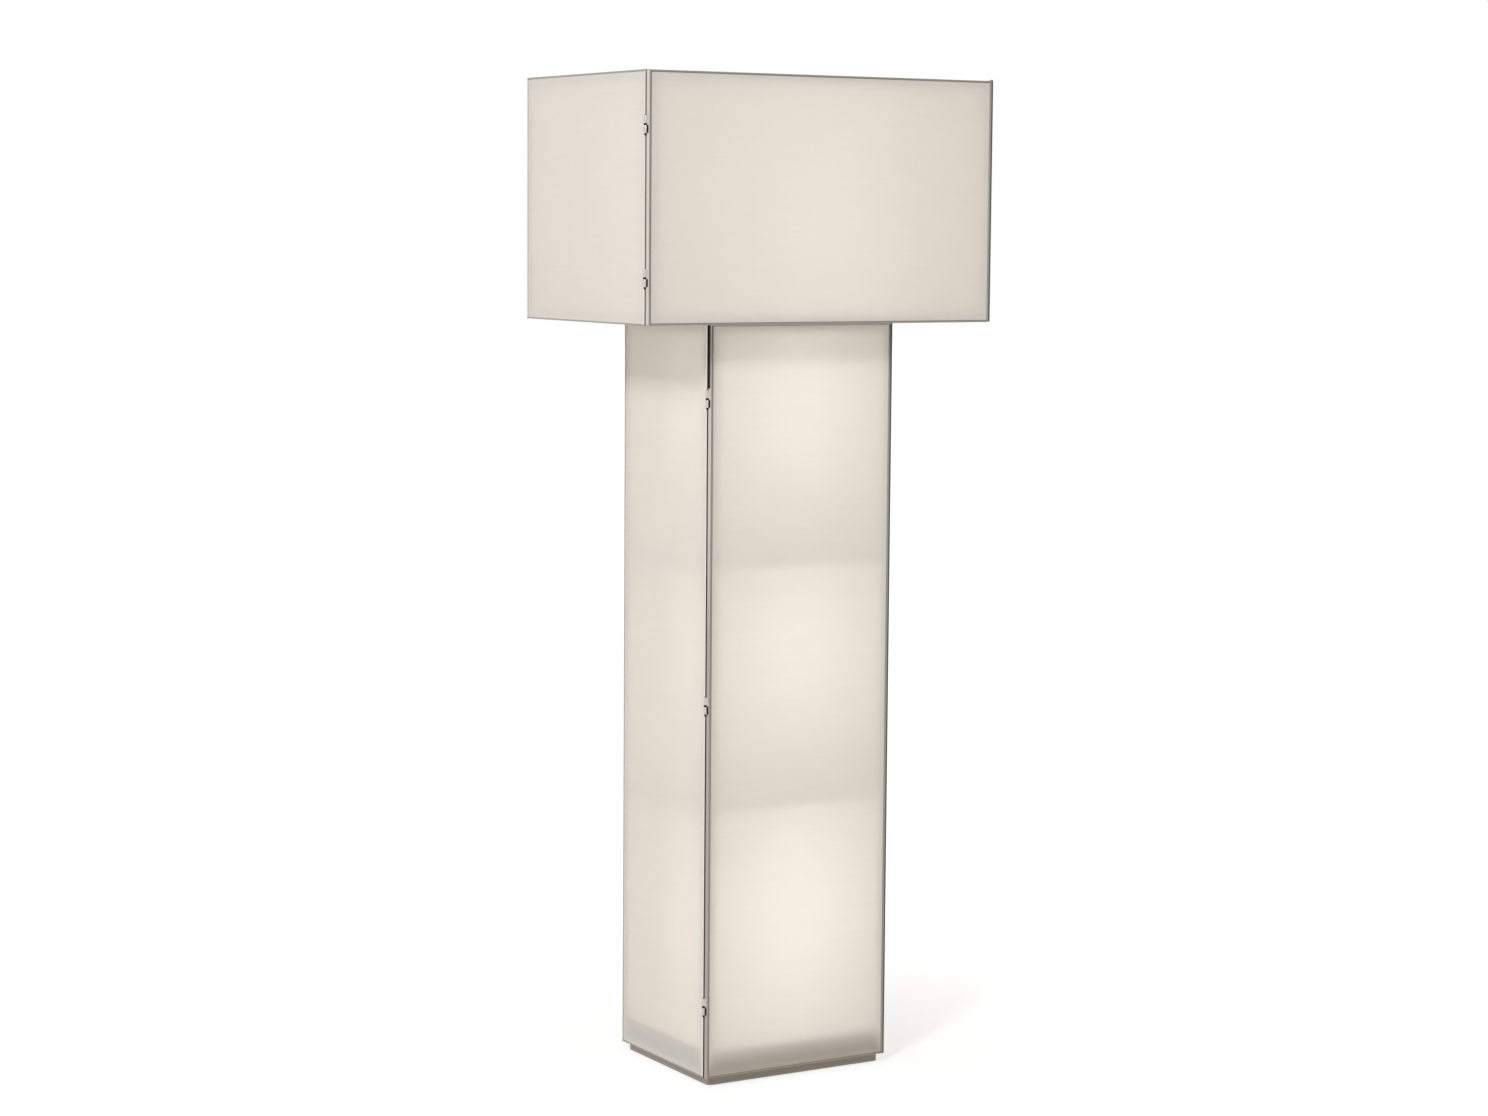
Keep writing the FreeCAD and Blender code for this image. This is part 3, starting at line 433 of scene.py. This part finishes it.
def door_aluminium(finishes, volume):
    """A door's anodised profile, darker as painted shade on its front faces. Its hinge-side edge
    carries a painted highlight and the bevel along its free edge painted shade. The column's door
    carries painted shadow under the head's overhang, and painted light on its top rail."""
    material, tree, output = start_material("Door aluminium, painted shade and edge highlight")
    # painted shade: the doors' tone is darker than the carcass frames', for faces that turn to the front
    colour, strength, painted_sheen = tuple(finishes.door_shade_colour), 1.0, 0.95
    if volume == "column":
        rail_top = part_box("column_door_frame")[1].z
        # painted shadow of the head's overhang: the tone falls to half towards the top
        strength = height_range(tree, *DOOR_PAINTED_SHADOW, 1.0, 0.5)
        # painted light: the top rail is drawn twice as pale, against the shade under the head
        pale = tuple(2.0 * c for c in finishes.rail_shade_colour)
        colour = mixed_colour(tree, within(tree, "Z", [(rail_top - RAIL_LIP, rail_top)]), colour, pale)
        # painted sheen: its edge is duller below its middle and brighter above
        painted_sheen = height_range(tree, *EDGE_PAINTED_SHEEN, 0.62, 0.9)
    metal = drawn_metal(tree, colour, 0.47, strength)
    bevel = drawn_metal(tree, tuple(finishes.free_edge_shade_colour), 0.5, strength)
    # painted highlight: a pale tone where the edge faces the hinge side, towards the key light
    bright = add_node(tree, "ShaderNodeBsdfPrincipled", Roughness=0.6,
                      Base_Color=toned(tree, tuple(finishes.hinge_edge_highlight_colour), painted_sheen))
    # painted shade: faces turned to the free side, away from the key light, get a darker tone
    free_side = mixed_shader(tree, facing(tree, FREE_SIDE, 0.3, 0.4), metal, bevel)
    hinge_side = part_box(f"{volume}_door_frame")[0].x
    edge = combined(tree, "MAXIMUM", facing(tree, HINGE_SIDE, 0.75, 0.85),
                    within(tree, "X", [(hinge_side - HIGHLIGHT_RETURN, hinge_side + HIGHLIGHT_RETURN)]))
    mixed = mixed_shader(tree, edge, free_side, bright.outputs["BSDF"])
    tree.links.new(mixed, output.inputs["Surface"])
    return material


def mill_aluminium():
    """The light channel's mill-finish extrusion: bare, bright and slightly streaked."""
    return patterned("Mill-finish aluminium", to_linear("#C9C8C4"), (1.5, (1.0, 1.0, 80.0)), (0.92, 1.05),
                     Metallic=1.0, Roughness=0.38)


def satin_stainless(finishes):
    """Turned stainless steel, blasted satin: a bright soft metal with fine rings round the barrel."""
    # tool marks from turning, about 0.2 mm apart, drawn at 0.6 mm
    return patterned("Satin stainless steel", finishes.hinge_colour, (0.6, (20.0, 20.0, 1.0)), (0.93, 1.04),
                     Metallic=1.0, Roughness=0.34)


def powder_coat(name, tint):
    """Folded steel with a polyester powder coat: matt, with a fine orange-peel surface."""
    material, tree, output = start_material(name)
    # orange peel of 1.5 mm, and a slow change of tone over 60 mm
    peel = noise(tree, 1.5)
    colour = two_tone(tree, tint, noise(tree, 60.0, detail=1.0), 0.95, 1.04)
    # painted shade: the plinth is darker where it nears the floor
    colour = toned(tree, colour, height_range(tree, *PLINTH_PAINTED_SHADE, 0.8, 1.25))
    coat = add_node(tree, "ShaderNodeBsdfPrincipled", Base_Color=colour, Roughness=0.55,
                    Normal=bumped(tree, peel, 0.15, 0.0002))
    tree.links.new(coat.outputs["BSDF"], output.inputs["Surface"])
    return material


def white_lacquer(finishes):
    """Steel with a white stoved lacquer: satin, nearly smooth, so that it spreads the light inside."""
    return patterned("White stoved lacquer", finishes.lacquer_colour, (40.0, (1.0, 1.0, 1.0), 1.0),
                     (0.97, 1.01), Roughness=0.35)


def seal_rubber(name, tint):
    """EPDM rubber, extruded, or a strip flocked on it, and dark strips of painted shade: dull, with a faint
    bloom.
    """
    return patterned(name, tint, (6.0, (1.0, 1.0, 1.0), 3.0), (0.85, 1.15), Roughness=0.75)


def moulded_plastic(name, tint, roughness, specular=0.5):
    """ABS or nylon from a spark-eroded mould: even colour with a fine matt grain."""
    # mould grain of 0.3 mm, drawn at 0.8 mm
    return patterned(name, tint, (0.8,), (0.92, 1.08), (0.1, 0.0001), Roughness=roughness,
                     Specular_IOR_Level=specular)


def primed_iron():
    """Cast iron under a brushed primer: dark, uneven and dull."""
    return patterned("Primed cast iron", to_linear("#4A4744"), (2.5, (1.0, 1.0, 1.0), 4.0), (0.8, 1.15),
                     (0.4, 0.0004), Roughness=0.7)


def lit_polycarbonate(finishes):
    """The bowed diffuser of opal polycarbonate with the LEDs' light in it, even along its length."""
    material, tree, output = start_material("Lit opal polycarbonate")
    colour = two_tone(tree, finishes.light_colour, noise(tree, 30.0, detail=1.0), 0.97, 1.0)
    # the LEDs face the doors, so the light leaves the diffuser's front and fades round its sides
    glow = combined(tree, "MULTIPLY", facing(tree, FRONT, -0.5, 0.6), finishes.light_strength)
    body = add_node(tree, "ShaderNodeBsdfPrincipled", Base_Color=to_linear("#F3EDE2"), Roughness=0.4,
                    Emission_Color=colour, Emission_Strength=glow)
    tree.links.new(body.outputs["BSDF"], output.inputs["Surface"])
    return material


def printed_board():
    """The LED strip's white solder mask over glass-fibre board."""
    return patterned("White printed board", to_linear("#E9E6DC"), (1.0,), (0.96, 1.0), Roughness=0.4)


def phosphor():
    """The yellow phosphor dome of a white LED."""
    return patterned("LED phosphor", to_linear("#E8CF6A"), (0.5,), (0.9, 1.05), Roughness=0.3)


# ---------------------------------------------------------------- mesh helpers
def finish_piece(mesh_builder, name, material, body, smooth_angle=0.6):
    """Turns a bmesh into an object that rides on a body."""
    bmesh.ops.recalc_face_normals(mesh_builder, faces=mesh_builder.faces[:])
    mesh = bpy.data.meshes.new(name)
    mesh_builder.to_mesh(mesh)
    mesh_builder.free()
    mesh.materials.append(material)
    piece = bpy.data.objects.new(name, mesh)
    bpy.context.scene.collection.objects.link(piece)
    mesh.set_sharp_from_angle(angle=smooth_angle)
    for polygon in mesh.polygons:
        polygon.use_smooth = True
    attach(piece, body)
    return piece


def add_block(build, low, high):
    """A box between two corners."""
    centre = (Vector(low) + Vector(high)) / 2
    size = Vector(high) - Vector(low)
    place = Matrix.Translation(centre) @ Matrix.Diagonal((*size, 1.0))
    bmesh.ops.create_cube(build, size=1.0, matrix=place)


def add_rod(build, centre, radius, length, segments, top_radius=None):
    """An upright rod about a centre, or a cone where its top has a radius of its own."""
    bmesh.ops.create_cone(build, cap_ends=True, segments=segments, radius1=radius,
                          radius2=radius if top_radius is None else top_radius, depth=length,
                          matrix=Matrix.Translation(centre))


def merged_copy(node):
    """A CAD node's mesh with the corners that its faces share joined."""
    build = bmesh.new()
    build.from_mesh(NODES[node].data)
    bmesh.ops.remove_doubles(build, verts=build.verts[:], dist=1e-6)
    return build


def refine(node, suffix, material, body, width):
    """A merged copy of a CAD node with its sharp edges broken, which stands for the node."""
    build = merged_copy(node)
    bmesh.ops.dissolve_limit(build, angle_limit=0.02, verts=build.verts[:], edges=build.edges[:])
    sharp = [e for e in build.edges if len(e.link_faces) == 2 and e.calc_face_angle(0.0) > 0.6]
    bmesh.ops.bevel(build, geom=sharp, offset=width, offset_type="OFFSET", affect="EDGES", segments=2,
                    profile=0.5, material=-1, clamp_overlap=True)
    piece = finish_piece(build, f"{node}_{suffix}", material, body, 0.5)
    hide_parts(node)


def dress(material, *names):
    """Gives CAD nodes a material."""
    for name in names:
        data = NODES[name].data
        data.materials.clear()
        data.materials.append(material)


def hinge_heights(node):
    """The lowest and highest points of each knuckle in a node, from the bottom up."""
    build = merged_copy(node)
    heights = sorted(vertex.co.z for vertex in build.verts)
    build.free()
    groups = [[heights[0], heights[0]]]
    for z in heights:
        if z - groups[-1][1] > 40 * MM:
            groups.append([z, z])
        groups[-1][1] = z
    return groups


def sight_box(node):
    """The clear opening of the frame round a pane, as its lowest and highest corners."""
    pane_low, pane_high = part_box(node)
    low, high = pane_low.copy(), pane_high.copy()
    thin = thin_axis(low, high)
    for axis in range(3):
        if axis != thin:
            cover = RAIL_COVER if axis == 2 else STILE_COVER
            low[axis] += cover
            high[axis] -= cover
    return low, high


# ---------------------------------------------------------------- operators
class LAMP_OT_panes(bpy.types.Operator):
    """Satin opal glass for every pane and frosted glass for the shelves"""
    bl_idname = "lamp.panes"
    bl_label = "Panes and shelves"

    def execute(self, context):
        finishes = context.scene.lamp_finishes
        for node in [n for n in NODES if n.endswith("_panel")]:
            dress(satin_opal_glass(finishes, node), node)
        dress(frosted_float_glass(finishes), "shelf_1", "shelf_2")
        return {"FINISHED"}


class LAMP_OT_frames(bpy.types.Operator):
    """Anodised finish for the glazed frames and the finger tab"""
    bl_idname = "lamp.frames"
    bl_label = "Glazed frames"

    def execute(self, context):
        finishes = context.scene.lamp_finishes
        dress(carcass_aluminium(finishes), *[n for n in NODES if n.endswith("_frame") and "door" not in n])
        dress(door_aluminium(finishes, "column"), "column_door_frame")
        dress(door_aluminium(finishes, "head"), "head_door_frame", "head_door_tab")
        return {"FINISHED"}


class LAMP_OT_gaskets(bpy.types.Operator):
    """A thin gasket between the lip of each upright frame and its pane, all the way round; grey on the doors,
    where it also stands for painted shade of the rebate
    """
    bl_idname = "lamp.gaskets"
    bl_label = "Glazing gaskets"

    def execute(self, context):
        details = context.scene.lamp_details
        # the doors' grey gasket is real and also painted shade of the step down to the pane
        grey = seal_rubber("Extruded EPDM rubber, grey, with painted rebate shade", to_linear("#8E8780"))
        pale = seal_rubber("Extruded EPDM rubber, pale grey", to_linear("#D2CCC6"))
        for node in [n for n in NODES if n.endswith("_panel") and n != "head_top_panel"]:
            if "door" in node:
                self.ring(node, grey, details, details.hinge_gasket)
            else:
                self.ring(node, pale, details, details.gasket_width)
        return {"FINISHED"}

    def ring(self, node, rubber, details, low_width):
        """Four bars round the clear opening. The one on the pane's low side may be wider, as it is on
        a door's hinge side."""
        low, high = sight_box(node)
        pane_low, pane_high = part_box(node)
        thin = thin_axis(pane_low, pane_high)
        side = 1 - thin
        outer = pane_low[thin] + pane_high[thin] > 0
        face = pane_high[thin] if outer else pane_low[thin]
        near, far = sorted((face, face + (1 if outer else -1) * details.gasket_height))
        width = details.gasket_width
        build = bmesh.new()
        for start, end, bottom, top in ((low[side], low[side] + low_width, low.z, high.z),
                                        (high[side] - width, high[side], low.z, high.z),
                                        (low[side] + low_width, high[side] - width, low.z, low.z + width),
                                        (low[side] + low_width, high[side] - width, high.z - width, high.z)):
            first, second = Vector((0.0, 0.0, bottom)), Vector((0.0, 0.0, top))
            first[thin], second[thin] = near, far
            first[side], second[side] = start, end
            add_block(build, first, second)
        finish_piece(build, node.replace("_panel", "_gasket"), rubber, body_of(NODES[node])[0])


class LAMP_OT_hinges(bpy.types.Operator):
    """Stainless knuckles with broken edges, pins, nylon washers, dark caps, collars and pads of painted shade,
    and a black strip of painted shadow
    """
    bl_idname = "lamp.hinges"
    bl_label = "Hinges"

    def execute(self, context):
        finishes = context.scene.lamp_finishes
        bevel = context.scene.lamp_details.knuckle_bevel
        steel = satin_stainless(finishes)
        # dark nylon: real for the washers, painted shade for the caps, collars and pads
        nylon = moulded_plastic("Dark nylon", to_linear("#171514"), 0.7, 0.15)
        for volume in VOLUMES:
            refine(f"{volume}_hinge_knuckles", "turned", steel, "cabinet", bevel)
            refine(f"{volume}_door_knuckles", "turned", steel, f"{volume}_door", bevel)
            dress(steel, f"{volume}_hinge_pins")
            dress(nylon, f"{volume}_hinge_washers")
            self.painted_shade_caps_and_pads(volume, nylon)
            if volume == "column":
                # a black strip of painted shadow from the head's overhang
                self.overhang_shadow_strip(seal_rubber("Painted overhang shadow strip", finishes.overhang_shadow_colour))
        return {"FINISHED"}

    def painted_shade_caps_and_pads(self, volume, nylon):
        """Painted shade of the hinge's pockets and joint: a dark nylon cap under each barrel, a collar over its
        washer, and a pad on the door's edge beside the fixed knuckle."""
        turned = bmesh.new()
        pads = bmesh.new()
        washer_low, washer_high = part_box(f"{volume}_hinge_washers")
        radius = (washer_high.x - washer_low.x) / 2
        axis_x, axis_y = (washer_low.x + washer_high.x) / 2, (washer_low.y + washer_high.y) / 2
        door_low, door_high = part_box(f"{volume}_door_frame")
        for low, high in hinge_heights(f"{volume}_hinge_knuckles"):
            add_rod(turned, (axis_x, axis_y, low - CAP_HEIGHT / 2), CAP_RADIUS, CAP_HEIGHT, 28)
            add_rod(turned, (axis_x, axis_y, high + COLLAR_RISE), radius + COLLAR_WALL, COLLAR_HEIGHT, 28)
            add_block(pads, (door_low.x - PAD_THICKNESS, door_low.y + PAD_FRONT, low + PAD_MARGIN),
                      (door_low.x, axis_y - radius - PAD_CLEARANCE, high - PAD_MARGIN))
        finish_piece(turned, f"{volume}_hinge_shade_caps", nylon, "cabinet")
        finish_piece(pads, f"{volume}_door_shade_pads", nylon, f"{volume}_door")

    def overhang_shadow_strip(self, flock):
        """A black strip of painted shadow from the head's overhang, on the column door's hinge edge, from above
        its top hinge to its top.
        """
        low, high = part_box("column_door_frame")
        build = bmesh.new()
        add_block(build, (low.x - STRIP_THICKNESS, low.y + STRIP_FRONT, OVERHANG_SHADOW_START),
                  (low.x, high.y - STRIP_BACK, high.z - STRIP_TOP))
        finish_piece(build, "column_door_painted_shadow", flock, "column_door")


class LAMP_OT_light_lines(bpy.types.Operator):
    """Lit diffusers, aluminium channels, printed strips and their LEDs"""
    bl_idname = "lamp.light_lines"
    bl_label = "Light lines"

    def execute(self, context):
        finishes = context.scene.lamp_finishes
        details = context.scene.lamp_details
        dress(lit_polycarbonate(finishes), "column_light_diffuser", "head_light_diffuser")
        dress(mill_aluminium(), "column_light_channel", "head_light_channel")
        dress(printed_board(), "column_light_strip", "head_light_strip")
        dome = phosphor()
        for volume in VOLUMES:
            self.chips(volume, dome, details)
            self.forward_lights(volume, finishes, details)
        return {"FINISHED"}

    def chips(self, volume, dome, details):
        """A row of LEDs on the front of the strip."""
        low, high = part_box(f"{volume}_light_strip")
        build = bmesh.new()
        half = details.chip_size / 2
        middle = (low.x + high.x) / 2
        count = int((high.z - low.z - details.chip_pitch) / details.chip_pitch)
        start = (low.z + high.z - (count - 1) * details.chip_pitch) / 2
        for number in range(count):
            z = start + number * details.chip_pitch
            add_block(build, (middle - half, low.y - CHIP_THICKNESS, z - half), (middle + half, low.y, z + half))
        finish_piece(build, f"{volume}_light_chips", dome, "cabinet")

    def forward_lights(self, volume, finishes, details):
        """Narrow lamps along the diffuser's front: what the LEDs throw straight at the door. Each of the
        column's compartments has its own run, which starts above a dark length; the head has one run."""
        low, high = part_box(f"{volume}_light_diffuser")
        shelves = [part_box(name) for name in ("shelf_1", "shelf_2")] if volume == "column" else []
        starts = [low.z] + [box[1].z for box in shelves]
        ends = [box[0].z for box in shelves] + [high.z - (0.0 if shelves else HEAD_SHORTFALL)]
        for number, (start, end) in enumerate(zip(starts, ends), start=1):
            if volume == "column":
                start += details.dark_run * (LOWEST_DARK_SHARE if number == 1 else 1.0)
            light = bpy.data.lights.new(f"{volume} forward light {number}", "AREA")
            light.shape = "RECTANGLE"
            light.size = (high.x - low.x) * LAMP_SHARE
            light.size_y = end - start
            light.spread = LAMP_SPREAD
            light.energy = getattr(finishes, f"{volume}_forward") * (end - start)
            light.color = tuple(finishes.forward_colour)
            lamp = bpy.data.objects.new(light.name, light)
            lamp.location = (0.0, low.y - LAMP_GAP, (start + end) / 2)
            lamp.rotation_euler = (-math.pi / 2, 0.0, 0.0)
            bpy.context.scene.collection.objects.link(lamp)


class LAMP_OT_base(bpy.types.Operator):
    """Powder-coated plinth, tray and service plate, with what stands in and on them"""
    bl_idname = "lamp.base"
    bl_label = "Base"

    def execute(self, context):
        finishes = context.scene.lamp_finishes
        dress(powder_coat("Warm grey powder coat", finishes.base_colour), "plinth", "service_plate")
        dress(powder_coat("Dark inner powder coat", to_linear("#2E2A27")), "base_tray")
        dress(primed_iron(), "ballast_plate")
        plastic = moulded_plastic("Black ABS", finishes.plastic_colour, 0.48)
        dress(plastic, "cable_gland", "switch_housing", "led_driver", "switch_rocker")
        dress(seal_rubber("Glide rubber", finishes.rubber_colour), "glides")
        self.cover_screws(context.scene.lamp_details.cover_screw_radius, satin_stainless(finishes))
        self.rocker_mark(moulded_plastic("White pad print", to_linear("#E6E4DF"), 0.5))
        return {"FINISHED"}

    def cover_screws(self, radius, steel):
        """Four pan heads on the base cover."""
        low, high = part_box("base_cover")
        build = bmesh.new()
        for x in (low.x + SCREW_INSET, high.x - SCREW_INSET):
            for y in (low.y + SCREW_INSET * 2, high.y - SCREW_INSET * 2):
                add_rod(build, (x, y, high.z + SCREW_HEIGHT / 2), radius, SCREW_HEIGHT, 20,
                        radius * SCREW_TAPER)
        finish_piece(build, "base_cover_screws", steel, "cabinet")

    def rocker_mark(self, print_ink):
        """A bar, pad-printed on the lower half of the rocker."""
        low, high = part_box("switch_rocker")
        middle = (low.x + high.x) / 2
        build = bmesh.new()
        add_block(build, (middle - MARK_HALF_WIDTH, high.y - MARK_DEPTH[0], low.z + MARK_HEIGHT[0]),
                  (middle + MARK_HALF_WIDTH, high.y - MARK_DEPTH[1], low.z + MARK_HEIGHT[1]))
        finish_piece(build, "rocker_mark", print_ink, "rocker")


class LAMP_OT_inside(bpy.types.Operator):
    """White lacquer for posts, rails, plates and brackets, rubber for the seals, steel for the bolts"""
    bl_idname = "lamp.inside"
    bl_label = "Inner structure"

    def execute(self, context):
        finishes = context.scene.lamp_finishes
        dress(white_lacquer(finishes), "column_posts", "column_rails", "column_top_plate", "head_posts",
              "head_rails", "head_floor", "base_cover", "shelf_brackets")
        dress(seal_rubber("Door seal rubber", finishes.rubber_colour), "column_door_seal", "head_door_seal")
        for volume in VOLUMES:
            self.seal_facing(volume, seal_rubber("White flocked facing", to_linear("#EFECE6")))
        dress(satin_stainless(finishes), "head_bolts")
        dress(moulded_plastic("Coated magnet", to_linear("#2B2A29"), 0.4), "column_door_catches",
              "head_door_catches")
        return {"FINISHED"}

    def seal_facing(self, volume, flock):
        """A thin white facing on the door's side of a seal, which keeps the pane's edge pale."""
        low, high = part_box(f"{volume}_door_seal")
        front, width = low.y - FACING, FACING_WIDTH
        build = bmesh.new()
        add_block(build, (low.x, front, low.z), (low.x + width, low.y, high.z))
        add_block(build, (high.x - width, front, low.z), (high.x, low.y, high.z))
        add_block(build, (low.x + width, front, low.z), (high.x - width, low.y, low.z + width))
        add_block(build, (low.x + width, front, high.z - width), (high.x - width, low.y, high.z))
        finish_piece(build, f"{volume}_seal_facing", flock, "cabinet")


class LAMP_OT_studio(bpy.types.Operator):
    """A pale floor, a soft lamp, a white surround and the camera"""
    bl_idname = "lamp.studio"
    bl_label = "Studio and camera"

    def execute(self, context):
        studio = context.scene.lamp_studio
        self.floor(studio)
        self.surround()
        self.key_softbox()
        self.camera(context, studio)
        context.scene.view_settings.view_transform = "Standard"
        return {"FINISHED"}

    def floor(self, studio):
        """Matt paper. The camera sees most of it as plain white, and the shadow stays."""
        build = bmesh.new()
        bmesh.ops.create_grid(build, x_segments=1, y_segments=1, size=studio.floor_size / 2)
        mesh = bpy.data.meshes.new("Floor")
        build.to_mesh(mesh)
        build.free()
        floor = bpy.data.objects.new("Floor", mesh)
        bpy.context.scene.collection.objects.link(floor)
        material, tree, output = start_material("Matt white paper")
        paper = add_node(tree, "ShaderNodeBsdfDiffuse", Color=studio.floor_colour)
        white = add_node(tree, "ShaderNodeEmission", Color=WHITE, Strength=FLOOR_GLOW)
        # the shadow shows round the foot and fades into the white further off
        away = add_node(tree, "ShaderNodeVectorMath", {"operation": "LENGTH"}, i0=object_place(tree))
        part = add_node(tree, "ShaderNodeMapRange", Value=away.outputs["Value"], From_Min=GLOW_REACH[0],
                        From_Max=GLOW_REACH[1], To_Min=GLOW_SHARE[0], To_Max=GLOW_SHARE[1])
        share = combined(tree, "MULTIPLY", self.seen_directly(tree), part.outputs["Result"])
        mixed = mixed_shader(tree, share, paper.outputs["BSDF"], white.outputs["Emission"])
        tree.links.new(mixed, output.inputs["Surface"])
        mesh.materials.append(material)

    def seen_directly(self, tree):
        """1 for rays from the camera and for those that metal and glass send on."""
        path = add_node(tree, "ShaderNodeLightPath").outputs
        first = combined(tree, "MAXIMUM", path["Is Camera Ray"], path["Is Glossy Ray"])
        return combined(tree, "MAXIMUM", first, path["Is Transmission Ray"])

    def surround(self):
        """Warm soft light on the lamp, and plain white behind it."""
        world = bpy.data.worlds.new("White surround")
        bpy.context.scene.world = world
        world.use_nodes = True
        tree = world.node_tree
        tree.nodes.clear()
        output = tree.nodes.new("ShaderNodeOutputWorld")
        light = add_node(tree, "ShaderNodeBackground", Color=SURROUND_COLOUR, Strength=SURROUND_STRENGTH)
        white = add_node(tree, "ShaderNodeBackground", Color=WHITE, Strength=1.0)
        mixed = mixed_shader(tree, self.seen_directly(tree), light.outputs["Background"],
                             white.outputs["Background"])
        tree.links.new(mixed, output.inputs["Surface"])

    def key_softbox(self):
        """A cool square lamp, high on the left and in front."""
        light = bpy.data.lights.new("Key softbox", "AREA")
        light.shape = "SQUARE"
        light.size = KEY_SIZE
        light.energy = KEY_WATTS
        light.color = KEY_COLOUR
        lamp = bpy.data.objects.new("Key softbox", light)
        lamp.location = KEY_PLACE
        lamp.rotation_euler = (Vector(KEY_TARGET) - Vector(KEY_PLACE)).to_track_quat("-Z", "Y").to_euler()
        bpy.context.scene.collection.objects.link(lamp)

    def camera(self, context, studio):
        """The picture's own viewpoint: to the left of straight on, a little above the lamp's middle."""
        data = bpy.data.cameras.new("Camera")
        data.sensor_width = 36.0
        data.lens = studio.lens
        data.clip_end = 200.0
        camera = bpy.data.objects.new("Camera", data)
        yaw, pitch, roll = (math.radians(angle) for angle in CAMERA_ANGLES)
        aim = Matrix.Rotation(-yaw, 4, "Z") @ Matrix.Rotation(math.pi / 2 - pitch, 4, "X")
        camera.matrix_world = Matrix.Translation(CAMERA_PLACE) @ aim @ Matrix.Rotation(roll, 4, "Z")
        context.scene.collection.objects.link(camera)
        context.scene.camera = camera


class LAMP_PT_panel(bpy.types.Panel):
    """Lists the lamp's pieces, sizes and finishes"""
    bl_idname = "LAMP_PT_panel"
    bl_label = "Column Floor Lamp"
    bl_space_type = "VIEW_3D"
    bl_region_type = "UI"
    bl_category = "Lamp"

    def draw(self, context):
        for operator in OPERATORS:
            self.layout.operator(operator.bl_idname)
        for group in (context.scene.lamp_finishes, context.scene.lamp_details, context.scene.lamp_studio):
            box = self.layout.box()
            for name in group.__annotations__:
                box.prop(group, name)


OPERATORS = (LAMP_OT_panes, LAMP_OT_frames, LAMP_OT_gaskets, LAMP_OT_hinges, LAMP_OT_light_lines, LAMP_OT_base,
             LAMP_OT_inside, LAMP_OT_studio)
GROUPS = {"lamp_finishes": LampFinishes, "lamp_details": LampDetails, "lamp_studio": LampStudio}


def register():
    for group in GROUPS.values():
        bpy.utils.register_class(group)
    for name, group in GROUPS.items():
        setattr(bpy.types.Scene, name, bpy.props.PointerProperty(type=group))
    for operator in OPERATORS:
        bpy.utils.register_class(operator)
    bpy.utils.register_class(LAMP_PT_panel)


def unregister():
    bpy.utils.unregister_class(LAMP_PT_panel)
    for operator in reversed(OPERATORS):
        bpy.utils.unregister_class(operator)
    for name in GROUPS:
        delattr(bpy.types.Scene, name)
    for group in reversed(list(GROUPS.values())):
        bpy.utils.unregister_class(group)


def main():
    register()
    for operator in OPERATORS:
        group, name = operator.bl_idname.split(".")
        getattr(getattr(bpy.ops, group), name)()


if __name__ == "__main__":
    main()
